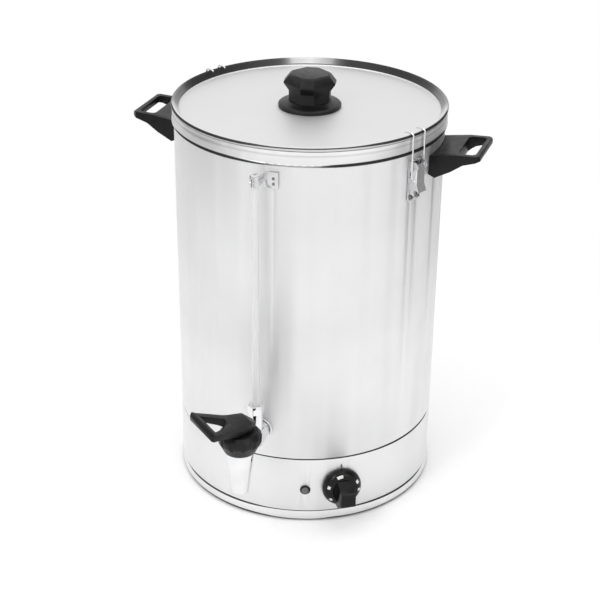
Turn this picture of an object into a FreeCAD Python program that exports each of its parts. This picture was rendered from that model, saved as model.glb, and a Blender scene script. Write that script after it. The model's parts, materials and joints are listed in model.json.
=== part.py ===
import FreeCAD, Part
import math
import os

import Sketcher
from FreeCAD import Placement, Rotation, Vector

# Hot water urn, about twenty litres, in millimetres.
# Origin: on the tank's axis, on the surface that the feet stand on. +Z is up, the tap points along -Y and
# the handles along +X and -X. An azimuth is counted in degrees from -Y towards +X.
# A piece fixed to the wall is drawn with its radial direction along +X, then turned to its azimuth.

document = FreeCAD.newDocument("HotWaterUrn")

# Driving dimensions: one plain number a cell, with its name as the alias
SIZES = {
    # Tank and casing
    "body_radius": 142.0,
    "sheet_wall": 1.0,
    "seam_height": 78.0,
    "seam_gap": 1.0,
    "joggle_depth": 12.0,
    "casing_clearance": 0.3,
    "weld_clearance": 0.05,
    "rim_height": 427.4,
    "band_height": 14.6,
    "band_step": 1.7,
    "band_bead_radius": 1.9,
    "band_bead_rise": 1.6,
    "floor_height": 82.0,
    "floor_thickness": 1.2,
    "floor_flange": 11.0,
    "floor_corner": 5.0,
    # Base
    "ring_height": 12.4,
    "ring_clear_height": 1.5,
    "ring_bulge_radius": 18.0,
    "ring_wall": 1.5,
    "flange_width": 8.0,
    "plate_height": 4.0,
    "plate_thickness": 1.2,
    "vent_count": 12.0,
    "vent_circle": 62.0,
    "vent_length": 22.0,
    "vent_width": 4.0,
    "foot_inset": 24.0,
    "foot_radius": 11.0,
    "foot_stem_radius": 4.0,
    "foot_stem_rise": 4.0,
    "tie_rod_inset": 42.0,
    "tie_rod_radius": 2.5,
    "tie_nut_flats": 8.0,
    "tie_nut_thickness": 3.0,
    "hole_clearance": 0.1,
    "bolt_clearance": 0.25,
    "running_clearance": 0.06,
    # Heating
    "spreader_radius": 85.0,
    "spreader_thickness": 3.0,
    "element_circle": 64.0,
    "element_radius": 4.0,
    "element_sweep": 330.0,
    "element_leg": 16.0,
    "clamp_inner_radius": 30.0,
    "clamp_outer_radius": 80.0,
    "clamp_thickness": 1.5,
    "clamp_stud_circle": 45.0,
    "clamp_stud_radius": 3.0,
    "clamp_nut_flats": 10.0,
    "clamp_nut_thickness": 5.0,
    # Thermostat and its knob
    "knob_azimuth": 35.0,
    "knob_height": 43.5,
    "skirt_radius": 21.5,
    "skirt_thickness": 4.0,
    "skirt_stand_off": 1.2,
    "dome_rise": 6.5,
    "dome_radius": 11.0,
    "dome_bulge": 9.0,
    "dome_crown": 0.8,
    "grip_width": 16.0,
    "grip_reach": 29.0,
    "grip_root_drop": 19.0,
    "grip_root_rise": 12.5,
    "grip_top_rise": 6.5,
    "grip_bottom_drop": 11.5,
    "hub_bore_depth": 14.0,
    "shaft_radius": 3.0,
    "bush_radius": 5.0,
    "bush_reach": 5.0,
    "stat_nut_flats": 13.0,
    "stat_nut_thickness": 2.5,
    "stat_length": 26.0,
    "stat_width": 36.0,
    "stat_height": 32.0,
    "stat_inset": 2.6,
    "bulb_radius": 3.0,
    "bulb_length": 60.0,
    "bulb_circle": 98.0,
    "bulb_gap": 0.3,
    "capillary_radius": 0.9,
    # Neon lamp
    "lamp_azimuth": 19.3,
    "lamp_height": 40.0,
    "lamp_radius": 4.0,
    "lamp_bezel_radius": 5.6,
    "lamp_bezel_thickness": 1.5,
    "lamp_lens_reach": 3.0,
    "lamp_depth": 22.0,
    "lamp_nut_radius": 7.5,
    "lamp_nut_thickness": 3.0,
    # Boil-dry cut-out and its reset button
    "cutout_azimuth": 158.0,
    "cutout_height": 40.0,
    "cutout_radius": 12.0,
    "cutout_length": 20.0,
    "cutout_inset": 2.6,
    "cutout_bush_radius": 5.5,
    "cutout_bush_reach": 3.6,
    "cutout_nut_flats": 14.0,
    "cutout_nut_thickness": 2.2,
    "button_radius": 3.2,
    "button_reach": 6.2,
    "button_depth": 9.0,
    "button_travel": 1.5,
    # Cord gland and terminals
    "gland_azimuth": 180.0,
    "gland_height": 38.0,
    "gland_radius": 8.0,
    "gland_flange_radius": 12.0,
    "gland_flange_thickness": 3.5,
    "gland_reach": 16.0,
    "gland_tip_radius": 6.2,
    "gland_inside": 14.0,
    "gland_bore_radius": 3.8,
    "gland_nut_flats": 22.0,
    "gland_nut_thickness": 5.0,
    "block_circle": 82.0,
    "block_depth": 18.0,
    "block_width": 42.0,
    "block_height": 16.0,
    "block_screw_radius": 2.6,
    "block_screw_pitch": 13.0,
    "block_screw_depth": 6.0,
    "earth_circle": 78.0,
    "earth_azimuth": 140.0,
    "earth_radius": 2.5,
    "earth_length": 14.0,
    "earth_nut_thickness": 4.0,
    # Handles
    "handle_reach": 48.0,
    "handle_width": 64.0,
    "handle_arm": 5.5,
    "handle_bar": 5.5,
    "finger_gap": 18.5,
    "handle_top": 404.5,
    "handle_root_top": 399.5,
    "handle_bar_height": 5.5,
    "handle_root_drop": 23.0,
    "handle_fit": 0.05,
    "handle_bolt_height": 389.0,
    "handle_bolt_spacing": 36.0,
    "handle_bolt_radius": 3.0,
    "handle_bolt_bite": 15.0,
    "bolt_head_radius": 5.0,
    "bolt_head_thickness": 3.5,
    "bolt_washer_radius": 6.0,
    "bolt_washer_thickness": 1.5,
    "bolt_washer_seat": 2.4,
    # Latches
    "latch_azimuth": 66.4,
    "latch_plate_drop": 39.0,
    "latch_plate_rise": 5.5,
    "latch_plate_width": 19.0,
    "latch_plate_thickness": 1.2,
    "latch_pivot_drop": 28.4,
    "latch_pivot_stand": 6.3,
    "latch_ear_radius": 4.4,
    "latch_ear_thickness": 1.1,
    "latch_pin_radius": 1.3,
    "lever_half_width": 6.0,
    "lever_ear_gap": 0.3,
    "lever_sheet": 1.0,
    "lever_front": 2.6,
    "lever_back": 3.2,
    "lever_drop": 27.5,
    "lever_lip": 3.0,
    "bail_pivot_drop": 13.0,
    "bail_pivot_inset": 1.7,
    "wire_radius": 1.0,
    "wire_half_spacing": 8.9,
    "hook_clearance": 0.35,
    "hook_inset": 3.6,
    "hook_lip": 0.2,
    "rivet_radius": 2.8,
    "rivet_height": 1.9,
    "rivet_spacing": 10.5,
    "rivet_rise": 4.5,
    # Sight gauge
    "gauge_stand": 16.5,
    "gauge_radius": 4.0,
    "gauge_bore": 2.7,
    "gauge_top": 407.0,
    "gauge_fit": 0.1,
    "clip_height": 396.0,
    "clip_length": 9.0,
    "clip_wall": 1.2,
    "clip_offset": 9.0,
    "clip_tab_width": 9.0,
    "clip_tab_drop": 8.0,
    "clip_rivet_radius": 1.5,
    "clip_screw_radius": 1.6,
    "gland_seal_length": 5.0,
    "tee_radius": 11.0,
    "tee_length": 18.0,
    "tee_boss_radius": 7.0,
    "tee_boss_rise": 35.5,
    "gauge_nut_radius": 8.6,
    "gauge_nut_length": 10.0,
    "gauge_nut_lip": 2.0,
    # Tap
    "tap_height": 113.5,
    "tap_reach": 61.5,
    "shank_radius": 8.0,
    "shank_bore": 5.0,
    "shank_inside": 15.0,
    "collar_radius": 12.5,
    "collar_thickness": 3.5,
    "seal_thickness": 2.0,
    "seal_inset": 2.0,
    "lock_nut_flats": 24.0,
    "lock_nut_thickness": 6.0,
    "barrel_radius": 14.3,
    "bonnet_gap": 0.5,
    "barrel_neck_radius": 12.0,
    "barrel_neck_rise": 10.0,
    "chamber_radius": 10.6,
    "seat_drop": 12.5,
    "spout_drop": 40.5,
    "spout_radius": 8.6,
    "spout_bore": 6.2,
    "inlet_radius": 8.8,
    "bonnet_radius": 22.5,
    "bonnet_height": 23.0,
    "bonnet_roof": 4.0,
    "bonnet_foot_radius": 16.5,
    "bonnet_foot_rise": 10.0,
    "flute_count": 12.0,
    "flute_radius": 3.4,
    "stem_radius": 3.5,
    "stem_shoulder": 7.6,
    "cup_radius": 9.6,
    "cup_height": 7.0,
    "cup_wall": 1.6,
    "spring_wire": 0.8,
    "spring_radius": 6.6,
    "spring_coils": 7.0,
    "washer_radius": 10.0,
    "washer_thickness": 1.5,
    "lever_pivot_rise": 5.2,
    "tap_lever_azimuth": -40.0,
    "tap_lever_length": 44.0,
    "tap_lever_width": 51.0,
    "tap_lever_bar": 7.5,
    "tap_lever_heel": 16.0,
    "tap_lever_tip_rise": 15.0,
    "tap_pin_radius": 1.5,
    # Lid
    "lid_rest_gap": 0.2,
    "lid_bead_radius": 2.2,
    "lid_depth": 7.5,
    "lid_sheet": 0.8,
    "lid_wall_lean": 3.0,
    "lid_knob_azimuth": 12.0,
    "lid_flange_radius": 33.0,
    "lid_flange_edge": 4.0,
    "lid_flange_rise": 7.0,
    "lid_knob_height": 35.5,
    "lid_waist_half": 20.0,
    "lid_head_half": 23.9,
    "lid_head_low": 18.0,
    "lid_top_half": 20.0,
    "lid_corner_cut": 7.0,
    "lid_screw_radius": 3.0,
    "lid_screw_bite": 16.0,
    "lid_screw_head_radius": 5.5,
    "lid_screw_head_height": 3.5,
    "lid_washer_radius": 9.0,
    "lid_washer_thickness": 1.2,
}

sheet = document.addObject("Spreadsheet::Sheet", "Sizes")
for row, (name, number) in enumerate(SIZES.items(), start=1):
    sheet.set("A%d" % row, str(number))
    sheet.setAlias("A%d" % row, name)
document.recompute()


class Size:
    """A size with its number and the expression that ties it to the sheet."""

    def __init__(self, value, text=None):
        self.value = float(value)
        self.text = text if text else "(%r)" % self.value

    def _join(self, other, sign, value):
        return Size(value, "(%s %s %s)" % (self.text, sign, other.text))

    def __add__(self, other):
        other = as_size(other)
        return self._join(other, "+", self.value + other.value)

    def __radd__(self, other):
        return as_size(other) + self

    def __sub__(self, other):
        other = as_size(other)
        return self._join(other, "-", self.value - other.value)

    def __rsub__(self, other):
        return as_size(other) - self

    def __mul__(self, other):
        other = as_size(other)
        return self._join(other, "*", self.value * other.value)

    def __rmul__(self, other):
        return as_size(other) * self

    def __truediv__(self, other):
        other = as_size(other)
        return self._join(other, "/", self.value / other.value)

    def __neg__(self):
        return as_size(0) - self


def as_size(number):
    """The number as a Size, whether it already is one or is plain."""
    return number if isinstance(number, Size) else Size(number)


def size(name):
    """The driving dimension of that name, read from the sheet."""
    return Size(getattr(sheet, name), "Sizes." + name)


def sine(angle):
    return Size(math.sin(math.radians(angle.value)), "sin(%s)" % angle.text)


def cosine(angle):
    return Size(math.cos(math.radians(angle.value)), "cos(%s)" % angle.text)


def root(square):
    return Size(math.sqrt(square.value), "sqrt(%s)" % square.text)


UP = Vector(0, 0, 1)
AXES = {
    "x": Rotation(Vector(0, 1, 0), 90),
    "y": Rotation(Vector(1, 0, 0), -90),
    "z": Rotation(),
}
ZERO = Size(0)
pieces = []
panel_nuts = []
latch_pins = []
wall_rivets = []


def bind(item, prop, value):
    """Set a property to a size and tie it to the sheet."""
    value = as_size(value)
    if "." not in prop:
        setattr(item, prop, value.value)
    item.setExpression(prop, value.text)


def put(item, at, rotation=None):
    """Place an item at three sizes, with a fixed rotation."""
    at = [as_size(number) for number in at]
    item.Placement = Placement(Vector(*[number.value for number in at]), rotation or Rotation())
    for letter, number in zip("xyz", at):
        bind(item, "Placement.Base." + letter, number)
    return item


def cylinder(radius, length, at=(0, 0, 0), axis="z"):
    """A cylinder that starts at a point and runs along +x, +y or +z."""
    item = document.addObject("Part::Cylinder", "Cylinder")
    bind(item, "Radius", radius)
    bind(item, "Height", length)
    return put(item, at, AXES[axis])


def cone(start_radius, end_radius, length, at=(0, 0, 0), axis="z"):
    item = document.addObject("Part::Cone", "Cone")
    bind(item, "Radius1", start_radius)
    bind(item, "Radius2", end_radius)
    bind(item, "Height", length)
    return put(item, at, AXES[axis])


def box(length, width, height, at):
    """A box that starts at x, is centred on y and starts at z."""
    item = document.addObject("Part::Box", "Box")
    bind(item, "Length", length)
    bind(item, "Width", width)
    bind(item, "Height", height)
    x, y, z = at
    return put(item, (x, y - as_size(width) / 2, z))


def hexagon(flats, length, at, axis="x"):
    """A hexagonal prism for a nut, by its width across flats."""
    item = document.addObject("Part::Prism", "Prism")
    item.Polygon = 6
    bind(item, "Circumradius", flats / root(Size(3)))
    bind(item, "Height", length)
    return put(item, at, AXES[axis])


def torus(ring_radius, tube_radius, at, sweep=None):
    item = document.addObject("Part::Torus", "Torus")
    bind(item, "Radius1", ring_radius)
    bind(item, "Radius2", tube_radius)
    if sweep is not None:
        bind(item, "Angle3", sweep)
    return put(item, at)


def fuse(parts):
    item = document.addObject("Part::MultiFuse", "Fuse")
    item.Shapes = parts
    return item


def common(parts):
    item = document.addObject("Part::MultiCommon", "Common")
    item.Shapes = parts
    return item


def group(parts):
    item = document.addObject("Part::Compound", "Group")
    item.Links = parts
    return item


def cut(base, tools):
    """The base less its tools."""
    item = document.addObject("Part::Cut", "Cut")
    item.Base = base
    item.Tool = tools[0] if len(tools) == 1 else group(tools)
    return item


def aim(item, azimuth):
    """Turn an item drawn along +X about the urn's axis to its azimuth."""
    turn = as_size(azimuth) - 90
    item.Placement = Placement(Vector(), Rotation(UP, turn.value))
    bind(item, "Placement.Rotation.Angle", turn)
    return item


def sketch_in(body, role, offset=None):
    """A sketch on one of the body's origin planes, moved along its normal and upwards."""
    sketch = body.newObject("Sketcher::SketchObject", "Outline")
    plane = [feature for feature in body.Origin.OriginFeatures if feature.Role == role][0]
    sketch.AttachmentSupport = [(plane, "")]
    sketch.MapMode = "FlatFace"
    if offset:
        for letter, number in offset.items():
            bind(sketch, "AttachmentOffset.Base." + letter, number)
    return sketch


def arc_middle(start, end, radius):
    """The middle of an arc between two points; a positive radius bulges to the right of the way."""
    half = (end - start) * 0.5
    rise = math.sqrt(max(radius * radius - half.Length ** 2, 0.0))
    sagitta = abs(radius) - rise
    side = Vector(half.y, -half.x, 0).normalize()
    return start + half + side * math.copysign(sagitta, radius)


def draw(sketch, corners):
    """Draw a closed outline; a corner is (x, y) or, before an arc, (x, y, radius)."""
    points = [Vector(as_size(c[0]).value, as_size(c[1]).value, 0) for c in corners]
    ends = []
    rules = []
    first = sketch.GeometryCount
    for index, corner in enumerate(corners):
        start = points[index]
        end = points[(index + 1) % len(points)]
        if len(corner) == 3:
            middle = arc_middle(start, end, as_size(corner[2]).value)
            anticlockwise = as_size(corner[2]).value > 0
            curve = Part.Arc(start, middle, end) if anticlockwise else Part.Arc(end, middle, start)
        else:
            curve = Part.LineSegment(start, end)
        number = sketch.addGeometry(curve, False)
        drawn = sketch.Geometry[number]
        forward = (drawn.StartPoint - start).Length < (drawn.EndPoint - start).Length
        ends.append((1, 2) if forward else (2, 1))
    for index in range(len(corners)):
        after = (index + 1) % len(corners)
        rules.append(Sketcher.Constraint("Coincident", first + index, ends[index][1], first + after, ends[after][0]))
    sketch.addConstraint(rules)
    for index, corner in enumerate(corners):
        for kind, number in (("DistanceX", corner[0]), ("DistanceY", corner[1])):
            number = as_size(number)
            rule = Sketcher.Constraint(kind, -1, 1, first + index, ends[index][0], number.value)
            place = sketch.addConstraint(rule)
            sketch.setExpression("Constraints[%d]" % place, number.text)
        if len(corner) == 3:
            number = as_size(corner[2])
            magnitude = number if number.value > 0 else -number
            place = sketch.addConstraint(Sketcher.Constraint("Radius", first + index, magnitude.value))
            sketch.setExpression("Constraints[%d]" % place, magnitude.text)


def turned(corners):
    """A solid of revolution about the urn's axis, from corners of (radius, height)."""
    body = document.addObject("PartDesign::Body", "Turned")
    sketch = sketch_in(body, "XZ_Plane")
    draw(sketch, corners)
    sketch.Visibility = False
    revolution = body.newObject("PartDesign::Revolution", "Revolution")
    revolution.Profile = sketch
    revolution.ReferenceAxis = (sketch, ["V_Axis"])
    revolution.Angle = 360
    return body


def turned_outward(corners, height):
    """A solid of revolution about a radial axis at a height, from corners of (distance out, radius)."""
    body = document.addObject("PartDesign::Body", "TurnedOutward")
    sketch = sketch_in(body, "XZ_Plane", {"y": height})
    draw(sketch, corners)
    revolution = body.newObject("PartDesign::Revolution", "Revolution")
    revolution.Profile = sketch
    revolution.ReferenceAxis = (sketch, ["H_Axis"])
    revolution.Angle = 360
    return body


def side_plate(corners, width, shift=None):
    """A pad across the width, from a side outline of (distance out, height)."""
    body = document.addObject("PartDesign::Body", "SidePlate")
    offset = {"z": shift} if shift is not None else None
    sketch = sketch_in(body, "XZ_Plane", offset)
    draw(sketch, corners)
    pad = body.newObject("PartDesign::Pad", "Pad")
    pad.Profile = sketch
    bind(pad, "Length", width)
    pad.Midplane = True
    return body


def plan_plate(corners, low, height, holes=()):
    """A pad upwards from a plan outline of (distance out, across), starting at a height."""
    body = document.addObject("PartDesign::Body", "PlanPlate")
    sketch = sketch_in(body, "XY_Plane", {"z": low})
    draw(sketch, corners)
    for hole in holes:
        draw(sketch, hole)
    pad = body.newObject("PartDesign::Pad", "Pad")
    pad.Profile = sketch
    bind(pad, "Length", height)
    return body


def keep(label, item):
    """Name a finished sub-part; its label is its node's name."""
    item.Label = label
    pieces.append(item)
    return item


# Azimuths of the feet, the tie rods and the clamp's studs
FOOT_AZIMUTHS = (45.0, 135.0, 225.0, 315.0)
TIE_AZIMUTHS = (90.0, 210.0, 330.0)
STUD_AZIMUTHS = (30.0, 150.0, 270.0)

# Heights and radii that several pieces share
body_radius = size("body_radius")
sheet_wall = size("sheet_wall")
inner_radius = body_radius - sheet_wall
band_radius = body_radius + size("band_step")
rim_height = size("rim_height")
band_low = rim_height - size("band_height")
seam_height = size("seam_height")
foot_circle = body_radius - size("foot_inset")
tie_rod_circle = body_radius - size("tie_rod_inset")
floor_low = size("floor_height")
ring_height = size("ring_height")
plate_low = size("plate_height")
plate_high = plate_low + size("plate_thickness")
hole_clearance = size("hole_clearance")
bolt_clearance = size("bolt_clearance")
running_clearance = size("running_clearance")
wall_gap = size("weld_clearance")
tap_height = size("tap_height")
tap_axis = body_radius + size("tap_reach")
gauge_axis = body_radius + size("gauge_stand")
latch_azimuths = {"front": size("latch_azimuth"), "rear": size("latch_azimuth") - 180}
handle_azimuths = {"right": Size(90), "left": Size(-90)}
latch_pivot_height = rim_height - size("latch_pivot_drop")
latch_plate_low = latch_pivot_height - size("latch_plate_drop")
rivet_low = latch_plate_low + size("rivet_rise")


# Tank and casing
def bolt_row(radius, length, start):
    """The pair of handle bolts' shanks, or their holes, at one handle."""
    half = size("handle_bolt_spacing") / 2
    return [cylinder(radius, length, (start, side * half, size("handle_bolt_height")), "x") for side in (-1, 1)]


def rivet_shanks(length, start, radius):
    """The pair of rivet shanks, or their holes, at one latch."""
    half = size("rivet_spacing") / 2
    return [cylinder(radius, length, (start, side * half, rivet_low), "x") for side in (-1, 1)]


def make_tank_shell():
    joggle_outer = inner_radius - size("casing_clearance")
    joggle_inner = joggle_outer - sheet_wall
    joggle_low = seam_height - size("joggle_depth")
    step = seam_height + size("seam_gap")
    rise = size("band_bead_rise")
    bead = size("band_bead_radius")
    shell = turned([
        (joggle_inner, joggle_low),
        (joggle_outer, joggle_low),
        (joggle_outer, step),
        (body_radius, step),
        (body_radius, band_low - rise, bead),
        (band_radius, band_low + rise),
        (band_radius, rim_height),
        (band_radius - sheet_wall, rim_height),
        (band_radius - sheet_wall, band_low + rise),
        (inner_radius, band_low - rise),
        (inner_radius, step + sheet_wall * 2),
        (joggle_inner, step + sheet_wall),
    ])
    start = body_radius - 8
    depth = Size(16)
    shank_hole = cylinder(size("shank_radius") + bolt_clearance, depth, (start, 0, tap_height), "x")
    clip_holes = clip_rivet_shanks(depth, start, size("clip_rivet_radius") * 0.6 + hole_clearance)
    tools = [aim(group([shank_hole] + clip_holes), ZERO)]
    for azimuth in handle_azimuths.values():
        tools.append(aim(group(bolt_row(size("handle_bolt_radius") + bolt_clearance, depth, start)), azimuth))
    for azimuth in latch_azimuths.values():
        holes = rivet_shanks(depth, start, size("rivet_radius") * 0.6 + hole_clearance)
        tools.append(aim(group(holes), azimuth))
    keep("tank_shell", cut(shell, tools))


def make_tank_floor():
    low = floor_low
    high = low + size("floor_thickness")
    corner = size("floor_corner")
    outer = inner_radius - wall_gap
    inner = outer - size("floor_thickness")
    top = low + corner + size("floor_flange")
    keep("tank_floor", turned([
        (0, low),
        (outer - corner, low),
        (outer, low + corner),
        (outer, top),
        (inner, top),
        (inner, high + corner),
        (outer - corner - size("floor_thickness"), high),
        (0, high),
    ]))


# Base
def make_base_housing():
    low = ring_height
    flange = inner_radius - size("flange_width")
    skin = turned([
        (flange, low),
        (body_radius, low),
        (body_radius, seam_height),
        (inner_radius, seam_height),
        (inner_radius, low + sheet_wall),
        (flange, low + sheet_wall),
    ])
    start = body_radius - 8
    depth = Size(16)
    openings = (
        ("knob_azimuth", size("bush_radius") + bolt_clearance, size("knob_height")),
        ("lamp_azimuth", size("lamp_radius") + hole_clearance, size("lamp_height")),
        ("cutout_azimuth", size("cutout_bush_radius") + bolt_clearance, size("cutout_height")),
        ("gland_azimuth", size("gland_radius") + bolt_clearance, size("gland_height")),
    )
    tools = []
    for azimuth, radius, height in openings:
        tools.append(aim(group([cylinder(radius, depth, (start, 0, height), "x")]), size(azimuth)))
    keep("base_housing", cut(skin, tools))


def make_base_ring():
    wall = size("ring_wall")
    inner = body_radius - wall
    flange = inner_radius - size("flange_width")
    low = size("ring_clear_height")
    keep("base_ring", turned([
        (flange, ring_height),
        (flange, ring_height - sheet_wall),
        (inner, ring_height - sheet_wall),
        (inner, plate_high + sheet_wall),
        (flange, plate_high + sheet_wall),
        (flange, plate_high),
        (inner, plate_high),
        (inner, low),
        (body_radius, low, size("ring_bulge_radius")),
        (body_radius, ring_height),
    ]))


def make_base_plate():
    radius = body_radius - size("ring_wall") - size("casing_clearance")
    disc = cylinder(radius, size("plate_thickness"), (0, 0, plate_low))
    tools = []
    depth = size("plate_thickness") + 2
    for azimuth in FOOT_AZIMUTHS:
        stem = cylinder(size("foot_stem_radius") + hole_clearance, depth, (foot_circle, 0, plate_low - 1))
        tools.append(aim(group([stem]), Size(azimuth)))
    for azimuth in TIE_AZIMUTHS:
        hole = cylinder(size("tie_rod_radius") + bolt_clearance, depth, (tie_rod_circle, 0, plate_low - 1))
        tools.append(aim(group([hole]), Size(azimuth)))
    count = int(size("vent_count").value)
    for index in range(count):
        start = size("vent_circle") - size("vent_length")
        slot = box(size("vent_length"), size("vent_width"), depth, (start, 0, plate_low - 1))
        tools.append(aim(group([slot]), Size(360.0 * index / count + 15)))
    stud = cylinder(size("earth_radius") + hole_clearance, depth, (size("earth_circle"), 0, plate_low - 1))
    tools.append(aim(group([stud]), size("earth_azimuth")))
    keep("base_plate", cut(disc, tools))


def make_feet():
    feet = []
    for azimuth in FOOT_AZIMUTHS:
        pad = cylinder(size("foot_radius"), plate_low, (foot_circle, 0, 0))
        rise = size("foot_stem_rise")
        stem = cylinder(size("foot_stem_radius"), rise, (foot_circle, 0, plate_low))
        feet.append(aim(fuse([pad, stem]), Size(azimuth)))
    keep("rubber_feet", group(feet))


def make_tie_rods():
    low = plate_low - size("tie_nut_thickness") - wall_gap
    rods = []
    nuts = []
    for azimuth in TIE_AZIMUTHS:
        circle = tie_rod_circle
        rods.append(aim(group([cylinder(size("tie_rod_radius"), floor_low - low, (circle, 0, low))]), Size(azimuth)))
        nut = hexagon(size("tie_nut_flats"), size("tie_nut_thickness"), (circle, 0, low), "z")
        bore = cylinder(size("tie_rod_radius") + wall_gap, plate_low, (circle, 0, 0))
        nuts.append(aim(cut(nut, [bore]), Size(azimuth)))
    return rods, nuts


# Heating under the tank's floor
spreader_low = floor_low - size("spreader_thickness")
element_height = spreader_low - size("element_radius")
clamp_high = element_height - size("element_radius")
clamp_low = clamp_high - size("clamp_thickness")


def clamp_studs(radius, length, low):
    return [aim(group([cylinder(radius, length, (size("clamp_stud_circle"), 0, low))]), Size(azimuth))
            for azimuth in STUD_AZIMUTHS]


def element_legs(radius, low, length):
    """The element's two cold legs, or their holes, at the ends of its ring."""
    legs = []
    for turn in (ZERO, size("element_sweep")):
        x = size("element_circle") * cosine(turn)
        y = size("element_circle") * sine(turn)
        legs.append(cylinder(radius, length, (x, y, low)))
    return legs


def make_heating():
    disc = cylinder(size("spreader_radius"), size("spreader_thickness"), (0, 0, spreader_low))
    stud_holes = clamp_studs(size("clamp_stud_radius") + bolt_clearance, Size(20), spreader_low - 8)
    keep("heat_spreader", cut(disc, stud_holes))
    ring = torus(size("element_circle"), size("element_radius"), (0, 0, element_height), size("element_sweep"))
    legs = element_legs(size("element_radius"), element_height - size("element_leg"), size("element_leg"))
    ends = []
    for turn in (ZERO, size("element_sweep")):
        ball = document.addObject("Part::Sphere", "Sphere")
        bind(ball, "Radius", size("element_radius"))
        x = size("element_circle") * cosine(turn)
        y = size("element_circle") * sine(turn)
        ends.append(put(ball, (x, y, element_height)))
    keep("heating_element", fuse([ring] + legs + ends))
    plate = cylinder(size("clamp_outer_radius"), size("clamp_thickness"), (0, 0, clamp_low))
    middle = cylinder(size("clamp_inner_radius"), Size(8), (0, 0, clamp_low - 3))
    holes = clamp_studs(size("clamp_stud_radius") + bolt_clearance, Size(8), clamp_low - 3)
    leg_holes = element_legs(size("element_radius") + 1, clamp_low - 3, Size(8))
    keep("element_clamp_plate", cut(plate, [middle] + holes + leg_holes))
    nut_low = clamp_low - size("clamp_nut_thickness")
    stud_low = nut_low - 2
    rods, nuts = make_tie_rods()
    keep("floor_studs", group(rods + clamp_studs(size("clamp_stud_radius"), floor_low - stud_low, stud_low)))
    for azimuth in STUD_AZIMUTHS:
        place = (size("clamp_stud_circle"), 0, nut_low)
        nut = hexagon(size("clamp_nut_flats"), size("clamp_nut_thickness"), place, "z")
        bore = cylinder(size("clamp_stud_radius") + wall_gap, Size(20), (size("clamp_stud_circle"), 0, nut_low - 5))
        nuts.append(aim(cut(nut, [bore]), Size(azimuth)))
    keep("stud_nuts", group(nuts))


# Thermostat, its bulb and the control knob
def make_thermostat():
    height = size("knob_height")
    azimuth = size("knob_azimuth")
    front = inner_radius - size("stat_inset")
    back = front - size("stat_length")
    case = box(size("stat_length"), size("stat_width"), size("stat_height"),
               (back, 0, height - size("stat_height") / 2))
    bush = cylinder(size("bush_radius"), body_radius + size("bush_reach") - front, (front, 0, height), "x")
    shaft_low = back + size("stat_length") / 2
    bore = cylinder(size("shaft_radius") + running_clearance, Size(60), (shaft_low, 0, height), "x")
    keep("thermostat_body", aim(cut(fuse([case, bush]), [bore]), azimuth))
    nut_start = body_radius + wall_gap
    nut = hexagon(size("stat_nut_flats"), size("stat_nut_thickness"), (nut_start, 0, height))
    nut_bore = cylinder(size("bush_radius") + wall_gap, Size(20), (nut_start - 5, 0, height), "x")
    panel_nuts.append(aim(cut(nut, [nut_bore]), azimuth))
    skirt_back = body_radius + size("skirt_stand_off")
    shaft_end = skirt_back + size("hub_bore_depth") + size("stat_nut_thickness")
    shaft = cylinder(size("shaft_radius"), shaft_end - shaft_low - 1, (shaft_low + 1, 0, height), "x")
    keep("thermostat_shaft", aim(group([shaft]), azimuth))
    bulb_height = floor_low - size("bulb_radius") - size("bulb_gap")
    bulb = cylinder(size("bulb_radius"), size("bulb_length"),
                    (size("bulb_circle"), -size("bulb_length") / 2, bulb_height), "y")
    riser_x = back + size("stat_length") / 2
    case_top = height + size("stat_height") / 2
    riser = cylinder(size("capillary_radius"), bulb_height - case_top, (riser_x, 0, case_top))
    run = cylinder(size("capillary_radius"), riser_x - size("bulb_circle"), (size("bulb_circle"), 0, bulb_height), "x")
    elbow = document.addObject("Part::Sphere", "Sphere")
    bind(elbow, "Radius", size("capillary_radius"))
    put(elbow, (riser_x, 0, bulb_height))
    keep("thermostat_bulb", aim(fuse([bulb, riser, run, elbow]), azimuth))


def make_control_knob():
    height = size("knob_height")
    back = body_radius + size("skirt_stand_off")
    face = back + size("skirt_thickness")
    recess = size("stat_nut_flats") * 0.62 + 1
    recess_deep = body_radius + size("bush_reach") + 1
    skirt = turned_outward([
        (back, recess),
        (back, size("skirt_radius")),
        (face - 1, size("skirt_radius"), -size("dome_bulge")),
        (face + size("dome_rise"), size("dome_radius")),
        (face + size("dome_rise") + size("dome_crown"), 0),
        (recess_deep, 0),
        (recess_deep, recess),
    ], height)
    tip = body_radius + size("grip_reach")
    low = height - size("grip_root_drop")
    high = height + size("grip_root_rise")
    grip = side_plate([
        (face - 1, low),
        (tip - 12, low + 1),
        (tip - 1.5, height - size("grip_bottom_drop")),
        (tip, height - size("grip_bottom_drop") + 2),
        (tip, height + size("grip_top_rise") - 2),
        (tip - 1.5, height + size("grip_top_rise")),
        (face + 8, high),
        (face - 1, high + 0.5),
    ], size("grip_width"))
    end = back + size("hub_bore_depth") + size("stat_nut_thickness") + wall_gap
    bore = cylinder(size("shaft_radius") + wall_gap, end - back + 2, (back - 2, 0, height), "x")
    pocket = cylinder(recess, recess_deep - back + 2, (back - 2, 0, height), "x")
    keep("control_knob", aim(cut(fuse([skirt, grip]), [group([bore]), group([pocket])]), size("knob_azimuth")))


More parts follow.
